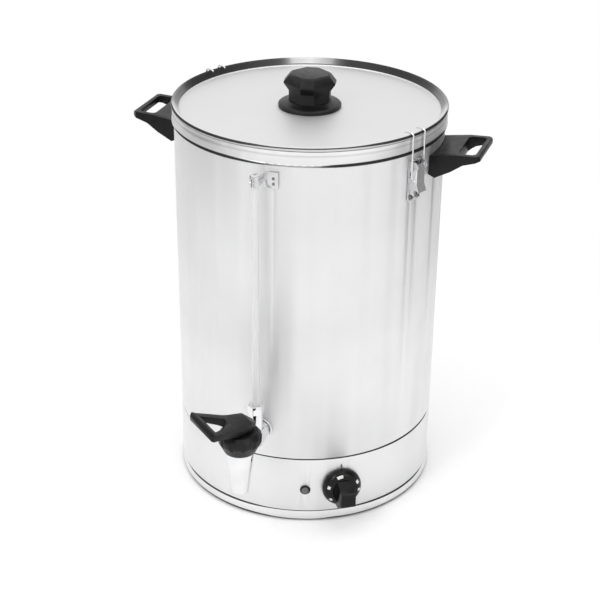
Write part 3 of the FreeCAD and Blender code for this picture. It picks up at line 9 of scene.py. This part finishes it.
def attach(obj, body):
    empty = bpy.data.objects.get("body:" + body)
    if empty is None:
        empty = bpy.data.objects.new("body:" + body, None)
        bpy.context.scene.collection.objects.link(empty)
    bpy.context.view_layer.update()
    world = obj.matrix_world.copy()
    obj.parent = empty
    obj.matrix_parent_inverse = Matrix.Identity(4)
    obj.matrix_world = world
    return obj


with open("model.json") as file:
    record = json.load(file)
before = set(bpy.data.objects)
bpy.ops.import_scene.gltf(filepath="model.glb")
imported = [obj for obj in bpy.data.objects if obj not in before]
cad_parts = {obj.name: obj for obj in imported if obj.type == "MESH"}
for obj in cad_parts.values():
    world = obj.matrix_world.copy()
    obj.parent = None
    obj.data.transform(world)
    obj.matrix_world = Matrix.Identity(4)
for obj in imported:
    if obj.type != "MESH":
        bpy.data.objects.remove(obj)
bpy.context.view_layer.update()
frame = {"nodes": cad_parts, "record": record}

nodes = frame["nodes"]
MM = 0.001

# Sizes in millimetres and azimuths in degrees, in the row frame
BODY_RADIUS = 142.0
PHOTO_AZIMUTH = 19.0
KNOB_AZIMUTH = 35.0
KNOB_HEIGHT = 43.5
# The heights of the painted dark reflections and shade on the sheet and the lid
BAND_BEAD_HEIGHT = 412.6
CRESCENT_HEIGHT = 423.0
SEAM_HEIGHT = 78.4
RING_HEIGHT = 12.6
LID_BEAD_HEIGHT = 431.0
PAN_FOOT_HEIGHT = 426.0

# Where the lid's painted reflections and shade begin and where they are full: distances out and heights
LID_BEAD_RADII = (142.9, 143.3)
PAN_WALL_RADII = (134.5, 136.0)
PAN_WALL_HEIGHTS = (425.2, 425.6)

# The printed marks and painted highlights: how far they stand off the piece, the tick's width and
# heights, the dial's radii
TICK_LIFT = 0.06
TICK_WIDTH = 1.4
TICK_HEIGHTS = (65.6, 69.4)
DIAL_LIFT = 0.05
DIAL_RADII = (15.8, 18.6)

# The nodes' meshes: welded closer than this in metres, angles in degrees that are softened or stay crisp
WELD_DISTANCE = 0.00001
BEVEL_ANGLE = 28
SMOOTH_ANGLE = 32

# The arc of the control knob's dome: distance out and radius of its centre, and its own radius
DOME_CENTRE = 144.84
DOME_MIDDLE = 12.60
DOME_BULGE = 9.0

# The camera: its place in metres, its turns in radians, its focal length in pixels of a 600 pixel frame
CAMERA_PLACE = (0.4673043, -1.3571503, 0.924704)
CAMERA_PITCH = 0.4693
CAMERA_YAW = -0.0055
CAMERA_ROLL = 0.0114
FOCAL_PIXELS = 1443.36
FRAME_PIXELS = 600.0
SENSOR_MM = 36.0


# Camera, at the photograph's angle
def make_camera():
    around = Matrix.Rotation(math.radians(PHOTO_AZIMUTH), 3, "Z")
    level = math.cos(CAMERA_PITCH)
    ahead = around @ Vector(
        (math.sin(CAMERA_YAW) * level, math.cos(CAMERA_YAW) * level, -math.sin(CAMERA_PITCH)))
    right = around @ Vector((math.cos(CAMERA_YAW), -math.sin(CAMERA_YAW), 0.0))
    up = right.cross(ahead)
    side = math.cos(CAMERA_ROLL) * right + math.sin(CAMERA_ROLL) * up
    top = -math.sin(CAMERA_ROLL) * right + math.cos(CAMERA_ROLL) * up
    camera = bpy.data.objects.new("camera", bpy.data.cameras.new("camera"))
    camera.data.sensor_width = SENSOR_MM
    camera.data.lens = FOCAL_PIXELS / FRAME_PIXELS * SENSOR_MM
    camera.data.clip_start = 0.05
    camera.data.clip_end = 60.0
    axes = Matrix((side, top, -ahead)).transposed().to_4x4()
    camera.matrix_world = Matrix.Translation(CAMERA_PLACE) @ axes
    bpy.context.scene.collection.objects.link(camera)
    bpy.context.scene.camera = camera


# Materials, all made of nodes; the next tone is painted onto the sheet as dark reflections and shade in
# its folds
PAINTED_REFLECTION_AND_SHADE = (0.006, 0.006, 0.007)


class Graph:
    """A material's node tree, with short calls for adding and joining nodes."""

    def __init__(self, name):
        self.material = bpy.data.materials.new(name)
        self.material.use_nodes = True
        self.tree = self.material.node_tree
        self.shader = self.tree.nodes["Principled BSDF"]
        self.place = self.add("ShaderNodeTexCoord").outputs["Object"]

    def add(self, kind, settings=None, **inputs):
        node = self.tree.nodes.new(kind)
        for key, value in (settings or {}).items():
            setattr(node, key, value)
        for key, value in inputs.items():
            self.feed(node.inputs[key.replace("_", " ")], value)
        return node

    def feed(self, socket, value):
        if isinstance(value, bpy.types.NodeSocket):
            self.tree.links.new(value, socket)
        else:
            socket.default_value = value

    def math(self, operation, first, second=0.0):
        node = self.tree.nodes.new("ShaderNodeMath")
        node.operation = operation
        self.feed(node.inputs[0], first)
        self.feed(node.inputs[1], second)
        return node.outputs[0]

    def length(self, first, second):
        """The length of a vector with these two parts."""
        squares = [self.math("MULTIPLY", part, part) for part in (first, second)]
        return self.math("SQRT", self.math("ADD", *squares))

    def weighted(self, kind, *pairs):
        """The sum or difference of two numbers, each times its weight."""
        return self.math(kind, *[self.math("MULTIPLY", number, weight) for number, weight in pairs])

    def noise(self, scale, detail=3.0, stretch=None, place=None):
        """Noise in 0..1; stretch scales the three axes of its place."""
        place = self.place if place is None else place
        if stretch is not None:
            place = self.add("ShaderNodeMapping", Vector=place, Scale=stretch).outputs[0]
        return self.add("ShaderNodeTexNoise", Vector=place, Scale=scale, Detail=detail).outputs["Fac"]

    def ramp(self, value, low, high, start=0.3, end=0.7):
        """A number that goes from low to high as value goes from start to end."""
        node = self.add("ShaderNodeMapRange", Value=value)
        for key, number in (("From Min", start), ("From Max", end), ("To Min", low), ("To Max", high)):
            node.inputs[key].default_value = number
        return node.outputs[0]

    def blend(self, amount, first, second):
        """A colour between two colours."""
        node = self.add("ShaderNodeMix", {"data_type": "RGBA"})
        self.feed(node.inputs[0], amount)
        for socket, colour in ((node.inputs[6], first), (node.inputs[7], second)):
            plain = not isinstance(colour, bpy.types.NodeSocket)
            self.feed(socket, tuple(colour) + (1.0,) if plain else colour)
        return node.outputs[2]

    def wrapped(self):
        """The place unrolled round the urn's axis: way round, height and distance out, in metres."""
        parts = self.add("ShaderNodeSeparateXYZ", Vector=self.place).outputs
        turn = self.math("ARCTAN2", parts[1], parts[0])
        along = self.math("MULTIPLY", turn, BODY_RADIUS * MM)
        out = self.length(parts[0], parts[1])
        return self.add("ShaderNodeCombineXYZ", X=along, Y=parts[2], Z=out).outputs[0]

    def facing(self):
        """Degrees round the urn from the photographed side, height and distance out in millimetres."""
        parts = self.add("ShaderNodeSeparateXYZ", Vector=self.place).outputs
        x, y, z = [self.math("MULTIPLY", part, 1.0 / MM) for part in parts]
        side = math.radians(PHOTO_AZIMUTH)
        across = self.weighted("ADD", (x, math.cos(side)), (y, math.sin(side)))
        ahead = self.weighted("SUBTRACT", (x, math.sin(side)), (y, math.cos(side)))
        turn = self.math("MULTIPLY", self.math("ARCTAN2", across, ahead), 180.0 / math.pi)
        return turn, z, self.length(x, y)

    def curve(self, angle, points):
        """A number read from points of (degrees, number); the first is at -180 and the last at 180."""
        node = self.add("ShaderNodeFloatCurve", Value=self.ramp(angle, 0.0, 1.0, -180.0, 180.0))
        top = max(number for _, number in points)
        line = node.mapping.curves[0].points
        for degrees, number in points:
            place = ((degrees + 180.0) / 360.0, number / top)
            if degrees in (-180, 180):
                line[0 if degrees < 0 else len(line) - 1].location = place
            else:
                line.new(*place)
        for point in line:
            point.handle_type = "AUTO_CLAMPED"
        node.mapping.update()
        return self.math("MULTIPLY", node.outputs[0], top)

    def stroke(self, value, centre, half, soft=0.25):
        """One within half of the centre, nought beyond; soft is the width of its edge."""
        away = self.math("SUBTRACT", self.math("ABSOLUTE", self.math("SUBTRACT", value, centre)), half)
        return self.ramp(away, 1.0, 0.0, -soft, soft)

    def both(self, first, second):
        return self.math("MULTIPLY", first, second)

    def either(self, *masks):
        total = masks[0]
        for mask in masks[1:]:
            total = self.math("MAXIMUM", total, mask)
        return total

    def bump(self, height, strength, distance):
        return self.add("ShaderNodeBump", Height=height, Strength=strength, Distance=distance).outputs[0]

    def finish(self, **inputs):
        for key, value in inputs.items():
            if isinstance(value, tuple) and len(value) == 3:
                value = value + (1.0,)
            self.feed(self.shader.inputs[key.replace("_", " ")], value)
        return self.material


def sheet_steel(name, bright, dull, rough_low, rough_high, grain):
    """Rolled sheet: faint grain round the urn, soft clouds of polish, a few hairline scuffs, and painted
    dark reflections and shade in its folds.
    """
    g = Graph(name)
    around = g.wrapped()
    clouds = g.noise(9.0, 4.0)
    lines = g.noise(1.0, 2.0, (30.0, 5200.0, 30.0), around)
    scuffs = g.noise(1.0, 2.0, (160.0, 2600.0, 60.0), around)
    colour = g.blend(g.ramp(clouds, 0.0, 1.0), bright, dull)
    scuffs_and_painted_shade = g.blend(g.ramp(scuffs, 0.0, 0.35, 0.66, 0.78), colour, dull)
    # painted dark reflections and shade in the sheet's folds, blended into its colour
    scuffs_and_painted_shade = g.blend(rim_reflection_and_shade(g), scuffs_and_painted_shade, PAINTED_REFLECTION_AND_SHADE)
    rough = g.math("ADD", g.ramp(clouds, rough_low, rough_high), g.ramp(lines, 0.0, 0.05))
    normal = g.bump(lines, grain, 0.00002)
    return g.finish(Base_Color=scuffs_and_painted_shade, Metallic=1.0, Roughness=rough, Normal=normal)


def rim_reflection_and_shade(g):
    """Painted dark reflections and shade in the sheet's folds: bead and crescent of the band, seam, two
    edges of the base ring.
    """
    turn, height, _ = g.facing()
    bead = g.stroke(height, BAND_BEAD_HEIGHT, g.curve(turn, [
        (-180, 1.2), (-95, 1.2), (-82, 0.0), (-74, 0.6), (-62, 1.9), (-45, 2.1), (-28, 1.7),
        (-18, 1.0), (-6, 0.7), (4, 1.0), (12, 1.9), (40, 2.2), (62, 2.6), (74, 1.2), (86, 0.0),
        (100, 1.2), (180, 1.2)]))
    pale = g.curve(turn, [
        (-180, 1.0), (-28, 1.0), (-16, 0.72), (-4, 0.6), (4, 0.75), (12, 1.0), (180, 1.0)])
    crescent = g.stroke(height, CRESCENT_HEIGHT, g.curve(turn, [
        (-180, 0.0), (-66, 0.0), (-54, 0.9), (-44, 0.8), (-32, 0.0), (180, 0.0)]), 1.6)
    seam = g.stroke(height, SEAM_HEIGHT, g.curve(turn, [
        (-180, 0.5), (-90, 0.3), (-40, 0.25), (-22, 0.7), (10, 0.8), (30, 1.0), (60, 1.3), (72, 0.8),
        (84, 0.0), (100, 0.5), (180, 0.5)]))
    ring_top = g.stroke(height, RING_HEIGHT, g.curve(turn, [
        (-180, 0.8), (-84, 0.0), (-66, 0.5), (-50, 1.2), (-24, 1.0), (-8, 0.5), (6, 0.5), (26, 1.0),
        (52, 1.3), (66, 0.7), (84, 0.0), (100, 0.8), (180, 0.8)]))
    ring_low = g.ramp(g.math("SUBTRACT", height, g.curve(turn, [
        (-180, 2.4), (-86, 2.0), (-60, 3.1), (-30, 3.6), (-12, 2.6), (4, 2.2), (14, 3.4), (24, 3.0),
        (50, 3.3), (70, 3.0), (88, 2.0), (180, 2.4)])), 1.0, 0.0, -0.3, 0.3)
    deep = g.either(g.both(bead, pale), seam, ring_top, ring_low)
    return g.either(g.both(deep, 0.96), g.both(crescent, 0.45))


def lid_reflection_and_shade(g):
    """Painted dark reflections and shade under the lid's bead and on the far inner wall of its pan."""
    turn, height, out = g.facing()
    rim = g.stroke(height, LID_BEAD_HEIGHT, g.curve(turn, [
        (-180, 0.0), (-92, 0.0), (-84, 0.5), (-68, 1.3), (-40, 1.5), (-24, 1.1), (-8, 0.6), (10, 0.6),
        (26, 1.0), (45, 1.5), (64, 1.5), (78, 0.6), (88, 0.0), (180, 0.0)]))
    outside = g.ramp(out, 0.0, 1.0, *LID_BEAD_RADII)
    wall = g.both(g.ramp(height, 0.0, 1.0, *PAN_WALL_HEIGHTS), g.ramp(out, 0.0, 1.0, *PAN_WALL_RADII))
    far = g.curve(turn, [
        (-180, 0.12), (-172, 0.25), (-164, 0.95), (-118, 1.0), (-104, 0.75), (-88, 0.55), (-70, 0.0),
        (70, 0.0), (88, 0.5), (104, 0.7), (118, 0.95), (160, 1.0), (170, 0.6), (180, 0.12)])
    behind = g.ramp(g.math("ABSOLUTE", turn), 0.0, 0.85, 85.0, 100.0)
    foot = g.both(g.stroke(height, PAN_FOOT_HEIGHT, 0.5), behind)
    return g.either(g.both(g.both(rim, outside), 0.93), g.both(wall, g.either(g.both(far, 0.95), foot)))


def disc_steel(name, bright, dull, rough_low, rough_high, grain):
    """A flat sheet with straight grain along X, and painted dark reflections and shade at the lid's bead
    and pan wall.
    """
    g = Graph(name)
    clouds = g.noise(7.0, 4.0)
    lines = g.noise(1.0, 2.0, (25.0, 4200.0, 25.0))
    scuffs = g.noise(1.0, 2.0, (90.0, 1900.0, 60.0))
    colour = g.blend(g.ramp(clouds, 0.0, 1.0), bright, dull)
    scuffs_and_painted_shade = g.blend(g.ramp(scuffs, 0.0, 0.3, 0.66, 0.8), colour, dull)
    # painted dark reflections and shade of the lid, blended into its colour
    scuffs_and_painted_shade = g.blend(lid_reflection_and_shade(g), scuffs_and_painted_shade, PAINTED_REFLECTION_AND_SHADE)
    rough = g.math("ADD", g.ramp(clouds, rough_low, rough_high), g.ramp(lines, 0.0, 0.05))
    normal = g.bump(lines, grain, 0.00002)
    return g.finish(Base_Color=scuffs_and_painted_shade, Metallic=1.0, Roughness=rough, Normal=normal)


def plated(name, bright, dull, rough_low, rough_high, scale=60.0):
    """Plated or turned metal: even, with faint clouds and fine pits."""
    g = Graph(name)
    clouds = g.noise(scale, 4.0)
    pits = g.noise(scale * 22.0, 2.0)
    colour = g.blend(g.ramp(clouds, 0.0, 1.0), bright, dull)
    rough = g.ramp(clouds, rough_low, rough_high)
    normal = g.bump(g.ramp(pits, 0.0, 1.0, 0.55, 0.75), 0.05, 0.00004)
    return g.finish(Base_Color=colour, Metallic=1.0, Roughness=rough, Normal=normal)


def moulded(name, dark, worn, rough_low, rough_high, grain, shine=0.5):
    """A moulding: fine spark texture, slight handling shine and dust-pale clouds."""
    g = Graph(name)
    clouds = g.noise(45.0, 5.0)
    texture = g.noise(1900.0, 3.0)
    rub = g.noise(160.0, 3.0)
    colour = g.blend(g.ramp(clouds, 0.0, 1.0, 0.35, 0.75), dark, worn)
    rough = g.math("ADD", g.ramp(rub, rough_low, rough_high), g.ramp(texture, -0.03, 0.03))
    normal = g.bump(texture, grain, 0.00006)
    return g.finish(Base_Color=colour, Roughness=rough, Normal=normal, Specular_IOR_Level=shine)


def glass_tube(name):
    """A milky tube with faint drawn streaks along its length."""
    g = Graph(name)
    streaks = g.noise(1.0, 2.0, (900.0, 900.0, 6.0))
    normal = g.bump(streaks, 0.06, 0.00005)
    rough = g.ramp(streaks, 0.12, 0.2)
    colour = g.blend(streaks, (0.90, 0.91, 0.91), (0.96, 0.96, 0.96))
    return g.finish(Base_Color=colour, Roughness=rough, Normal=normal, Transmission_Weight=0.45, IOR=1.4)


def lens(name, deep, pale):
    """A smoked lens with faint clouds, and the ribs that scatter the lamp's light."""
    g = Graph(name)
    bands = {"wave_type": "BANDS", "bands_direction": "Z"}
    ribs = g.add("ShaderNodeTexWave", bands, Vector=g.place, Scale=420.0)
    clouds = g.noise(260.0, 3.0)
    colour = g.blend(g.ramp(clouds, 0.0, 1.0), deep, pale)
    normal = g.bump(ribs.outputs["Fac"], 0.25, 0.0001)
    return g.finish(Base_Color=colour, Roughness=g.ramp(clouds, 0.12, 0.24), Normal=normal)


# Each finish: the function that makes it, and what the function takes after the name
FINISHES = {
    "polished_steel": (sheet_steel, (0.84, 0.84, 0.84), (0.79, 0.79, 0.795), 0.46, 0.54, 0.12),
    "lid_steel": (disc_steel, (0.71, 0.71, 0.71), (0.68, 0.68, 0.685), 0.48, 0.56, 0.15),
    "satin_steel": (plated, (0.74, 0.74, 0.75), (0.64, 0.64, 0.65), 0.20, 0.34),
    "dark_steel": (plated, (0.20, 0.20, 0.20), (0.12, 0.12, 0.12), 0.16, 0.28),
    "zinc_steel": (plated, (0.64, 0.65, 0.67), (0.52, 0.53, 0.54), 0.30, 0.46, 120.0),
    "chrome": (plated, (0.84, 0.84, 0.85), (0.77, 0.77, 0.78), 0.05, 0.11),
    "black_moulding": (moulded, (0.005, 0.005, 0.005), (0.010, 0.010, 0.010), 0.30, 0.42, 0.28, 0.22),
    "gloss_black": (moulded, (0.003, 0.003, 0.003), (0.006, 0.006, 0.006), 0.12, 0.20, 0.08, 0.22),
    "black_rubber": (moulded, (0.022, 0.022, 0.022), (0.045, 0.045, 0.044), 0.62, 0.80, 0.5),
    "silicone": (moulded, (0.56, 0.56, 0.54), (0.66, 0.66, 0.64), 0.35, 0.50, 0.2),
    "gauge_glass": (glass_tube,),
    "aluminium": (plated, (0.78, 0.78, 0.79), (0.66, 0.66, 0.67), 0.28, 0.44, 50.0),
    "brass": (plated, (0.74, 0.58, 0.29), (0.58, 0.43, 0.20), 0.20, 0.36),
    "copper_bulb": (plated, (0.76, 0.42, 0.27), (0.58, 0.30, 0.19), 0.24, 0.40),
    "lamp_lens": (lens, (0.07, 0.065, 0.065), (0.16, 0.15, 0.15)),
    "stat_case": (moulded, (0.72, 0.69, 0.60), (0.80, 0.78, 0.70), 0.42, 0.56, 0.3),
    "terminal_moulding": (moulded, (0.82, 0.82, 0.80), (0.88, 0.88, 0.86), 0.36, 0.5, 0.2),
    "red_button": (moulded, (0.46, 0.02, 0.016), (0.58, 0.04, 0.03), 0.20, 0.3, 0.12),
    # pale patches on the control knob's dome: printed marks and painted highlights
    "dial_paint": (moulded, (0.62, 0.62, 0.60), (0.72, 0.72, 0.70), 0.40, 0.5, 0.1),
    "tick_paint": (moulded, (0.012, 0.012, 0.012), (0.02, 0.02, 0.02), 0.40, 0.5, 0.1),
}
finishes = {name: make(name, *values) for name, (make, *values) in FINISHES.items()}

# The nodes that don't wear the finish of their slot in the record
OWN_FINISH = {"lid_pan": "lid_steel", "wall_rivets": "dark_steel"}


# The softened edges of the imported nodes: width in millimetres and number of steps
BEVELS = {
    "handle_right": (1.6, 4), "handle_left": (1.6, 4), "lid_knob": (1.3, 4), "control_knob": (0.9, 4),
    "tap_lever": (1.3, 4), "tap_bonnet": (0.8, 3), "tap_body": (0.5, 3), "gauge_gland_nut": (0.5, 3),
    "shank_collar": (0.6, 3), "gauge_tee": (0.5, 3), "rubber_feet": (0.6, 3), "gauge_clip": (0.2, 2),
    "latch_lever_front": (0.25, 2), "latch_lever_rear": (0.25, 2),
    "latch_plate_front": (0.2, 2), "latch_plate_rear": (0.2, 2), "wall_rivets": (0.25, 2),
    "tap_swivel_washer": (0.3, 2), "tap_stem": (0.3, 2), "cord_gland_nut": (0.4, 2),
    "panel_nuts": (0.25, 2), "tank_shell": (0.25, 2), "base_ring": (0.3, 2), "base_housing": (0.2, 2),
}


def dress_nodes():
    """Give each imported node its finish, smooth faces and, where it has one, its bevel."""
    for row in frame["record"]["subparts"]:
        name = row["node"]
        item = nodes[name]
        finish = finishes[OWN_FINISH.get(name, row["material_slot"])]
        item.data.materials.clear()
        item.data.materials.append(finish)
        for face in item.data.polygons:
            face.use_smooth = True
        weld = item.modifiers.new("weld", "WELD")
        weld.merge_threshold = WELD_DISTANCE
        if name in BEVELS:
            width, steps = BEVELS[name]
            bevel = item.modifiers.new("bevel", "BEVEL")
            bevel.width = width * MM
            bevel.segments = steps
            bevel.limit_method = "ANGLE"
            bevel.angle_limit = math.radians(BEVEL_ANGLE)
            bevel.harden_normals = True
            bevel.use_clamp_overlap = True
        smooth_by_angle(item, SMOOTH_ANGLE)


def smooth_by_angle(item, degrees):
    """Smooth shading with edges sharper than the angle kept crisp, as a modifier."""
    modifier = item.modifiers.new("smooth", "NODES")
    name = "smooth_%d" % degrees
    group = bpy.data.node_groups.get(name)
    if group is None:
        group = bpy.data.node_groups.new(name, "GeometryNodeTree")
        group.interface.new_socket("Geometry", in_out="INPUT", socket_type="NodeSocketGeometry")
        group.interface.new_socket("Geometry", in_out="OUTPUT", socket_type="NodeSocketGeometry")
        start = group.nodes.new("NodeGroupInput")
        end = group.nodes.new("NodeGroupOutput")
        angle = group.nodes.new("GeometryNodeInputMeshEdgeAngle")
        test = group.nodes.new("FunctionNodeCompare")
        test.data_type = "FLOAT"
        test.operation = "LESS_THAN"
        test.inputs[1].default_value = math.radians(degrees)
        faces = group.nodes.new("GeometryNodeSetShadeSmooth")
        faces.domain = "FACE"
        edges = group.nodes.new("GeometryNodeSetShadeSmooth")
        edges.domain = "EDGE"
        group.links.new(angle.outputs["Unsigned Angle"], test.inputs[0])
        group.links.new(start.outputs[0], faces.inputs["Geometry"])
        group.links.new(faces.outputs[0], edges.inputs["Geometry"])
        group.links.new(test.outputs[0], edges.inputs["Shade Smooth"])
        group.links.new(edges.outputs[0], end.inputs[0])
    modifier.node_group = group


def add_object(name, form, material):
    """An object in the scene from a finished bmesh, which is freed."""
    mesh = bpy.data.meshes.new(name)
    form.to_mesh(mesh)
    form.free()
    mesh.materials.append(material)
    item = bpy.data.objects.new(name, mesh)
    bpy.context.scene.collection.objects.link(item)
    return item


# Studio
def floor_paper():
    """Pale paper that turns to plain white further out, for the camera and in mirrors."""
    g = Graph("floor_paper")
    fibre = g.noise(240.0, 4.0)
    colour = g.blend(g.ramp(fibre, 0.0, 1.0), (0.93, 0.93, 0.93), (0.95, 0.95, 0.95))
    g.finish(Base_Color=colour, Roughness=0.9, Specular_IOR_Level=0.1)
    far = g.add("ShaderNodeVectorMath", {"operation": "LENGTH"}, Vector=g.place).outputs["Value"]
    paper = g.tree.nodes["Material Output"].inputs["Surface"].links[0].from_socket
    white = g.add("ShaderNodeEmission", Color=(1, 1, 1, 1), Strength=1.0).outputs[0]
    rays = g.add("ShaderNodeLightPath").outputs
    seen = g.either(rays["Is Camera Ray"], rays["Is Glossy Ray"], rays["Is Transmission Ray"])
    amount = g.both(g.ramp(far, 0.0, 1.0, 0.28, 0.75), seen)
    mix = g.add("ShaderNodeMixShader")
    g.feed(mix.inputs[0], amount)
    g.feed(mix.inputs[1], paper)
    g.feed(mix.inputs[2], white)
    g.feed(g.tree.nodes["Material Output"].inputs["Surface"], mix.outputs[0])
    return g.material


def make_floor():
    form = bmesh.new()
    bmesh.ops.create_circle(form, cap_ends=True, segments=96, radius=12.0)
    floor = add_object("floor", form, floor_paper())


def make_world():
    """Soft white light from all round; the camera and mirrors see it as full white."""
    world = bpy.data.worlds.new("studio")
    bpy.context.scene.world = world
    world.use_nodes = True
    tree = world.node_tree
    back = tree.nodes["Background"]
    path = tree.nodes.new("ShaderNodeLightPath")
    first = tree.nodes.new("ShaderNodeMath")
    first.operation = "MAXIMUM"
    second = tree.nodes.new("ShaderNodeMath")
    second.operation = "MAXIMUM"
    tree.links.new(path.outputs["Is Camera Ray"], first.inputs[0])
    tree.links.new(path.outputs["Is Glossy Ray"], first.inputs[1])
    tree.links.new(first.outputs[0], second.inputs[0])
    tree.links.new(path.outputs["Is Transmission Ray"], second.inputs[1])
    level = tree.nodes.new("ShaderNodeMapRange")
    level.inputs["To Min"].default_value = 0.88
    level.inputs["To Max"].default_value = 1.0
    tree.links.new(second.outputs[0], level.inputs["Value"])
    tree.links.new(level.outputs[0], back.inputs["Strength"])
    back.inputs["Color"].default_value = (1.0, 1.0, 1.0, 1.0)


def area_lamp(name, at, aim, width, power):
    """A square lamp at a place in metres, aimed at another."""
    lamp = bpy.data.lights.new(name, "AREA")
    lamp.shape = "RECTANGLE"
    lamp.size = width
    lamp.size_y = width
    lamp.energy = power
    item = bpy.data.objects.new(name, lamp)
    item.location = at
    item.rotation_mode = "QUATERNION"
    item.rotation_quaternion = (Vector(aim) - Vector(at)).to_track_quat("-Z", "Y")
    bpy.context.scene.collection.objects.link(item)


def grey(tone):
    return (tone, tone, tone)


def card(name, azimuth, width, near, far, distance=0.52, high=0.85, stand=0.002):
    """A grey standing card, seen only in mirrors and through glass; its tone goes from near to far."""
    g = Graph(name)
    parts = g.add("ShaderNodeSeparateXYZ", Vector=g.place).outputs
    along = g.ramp(parts[0], 0.0, 1.0, -0.5 * width, 0.5 * width)
    fibre = g.noise(30.0, 3.0)
    tone = g.blend(along, grey(near), grey(far))
    lifted = g.blend(g.ramp(parts[2], 1.0, 0.0, 0.0, high * 0.35), tone, grey(0.97))
    speckled = g.blend(g.ramp(fibre, 0.0, 0.08), lifted, grey(1.0))
    g.finish(Base_Color=speckled, Roughness=0.9, Specular_IOR_Level=0.0)
    form = bmesh.new()
    ends = ((-0.5, 0), (0.5, 0), (0.5, high), (-0.5, high))
    form.faces.new([form.verts.new((x * width, 0.0, z)) for x, z in ends])
    item = add_object(name, form, g.material)
    angle = math.radians(azimuth)
    place = Matrix.Translation((math.sin(angle) * distance, -math.cos(angle) * distance, stand))
    item.matrix_world = place @ Matrix.Rotation(angle, 4, "Z")
    item.visible_camera = False
    item.visible_shadow = False
    item.visible_diffuse = False


# Printed marks and painted highlights, as thin patches laid on the pieces
def patch(name, body, place, rows, columns, material, thickness=0.12):
    """A thin patch: place(u, v) gives its surface for u and v in 0..1, in millimetres."""
    form = bmesh.new()
    grid = [[form.verts.new(Vector(place(c / columns, r / rows)) * MM) for c in range(columns + 1)]
            for r in range(rows + 1)]
    for r in range(rows):
        for c in range(columns):
            form.faces.new((grid[r][c], grid[r][c + 1], grid[r + 1][c + 1], grid[r + 1][c]))
    bmesh.ops.recalc_face_normals(form, faces=form.faces[:])
    item = add_object(name, form, material)
    thick = item.modifiers.new("thick", "SOLIDIFY")
    thick.thickness = thickness * MM
    thick.offset = 0.0
    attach(item, body)


def on_wall(azimuth, width, low, high):
    """A patch of the wall, by its azimuth in degrees, its width and its two heights."""
    def place(u, v):
        angle = math.radians(azimuth) + (u - 0.5) * width / BODY_RADIUS
        out = BODY_RADIUS + TICK_LIFT
        return math.sin(angle) * out, -math.cos(angle) * out, low + (high - low) * v
    return place


def on_dome(turn, span, inner, outer):
    """A patch of the control knob's dome, by its turn and span in degrees and its two radii."""
    axis = math.radians(KNOB_AZIMUTH)

    def place(u, v):
        radius = inner + (outer - inner) * v
        angle = math.radians(turn + (u - 0.5) * span)
        out = DOME_CENTRE + math.sqrt(DOME_BULGE ** 2 - (radius - DOME_MIDDLE) ** 2) + DIAL_LIFT
        side = radius * math.sin(angle)
        x = math.sin(axis) * out + math.cos(axis) * side
        y = -math.cos(axis) * out + math.sin(axis) * side
        return x, y, KNOB_HEIGHT + radius * math.cos(angle)
    return place


# The dial's printed marks and painted highlights: the turn of each round the knob, and its span, in
# degrees
DIAL_PRINT_AND_HIGHLIGHTS = ((-72, 12), (-14, 22), (62, 14), (96, 10), (135, 12), (-125, 12))


def make_marks():
    tick = on_wall(KNOB_AZIMUTH, TICK_WIDTH, *TICK_HEIGHTS)
    patch("index_tick", "root", tick, 2, 2, finishes["tick_paint"])
    # the dial's pale patches are its printed marks and painted highlights on the dome
    for number, (turn, span) in enumerate(DIAL_PRINT_AND_HIGHLIGHTS):
        place = on_dome(turn, span, *DIAL_RADII)
        patch("dial_print_and_highlight_%d" % number, "control_knob", place, 2, 4, finishes["dial_paint"])


bpy.context.scene.view_settings.view_transform = "Standard"
make_camera()
dress_nodes()
make_floor()
make_world()
card("left_card", -68.0, 0.60, 0.60, 0.22)
card("right_card", 112.0, 0.74, 0.22, 0.30)
area_lamp("key", (-0.9, -1.6, 1.9), (0, 0, 0.25), 1.4, 12)
area_lamp("spark", (-0.45, -1.5, 1.5), (0, -0.1, 0.25), 0.22, 3)
area_lamp("fill", (1.7, -1.0, 1.5), (0, 0, 0.25), 1.4, 7)
area_lamp("top", (0.0, 0.3, 2.3), (0, 0, 0.3), 1.6, 10)
make_marks()
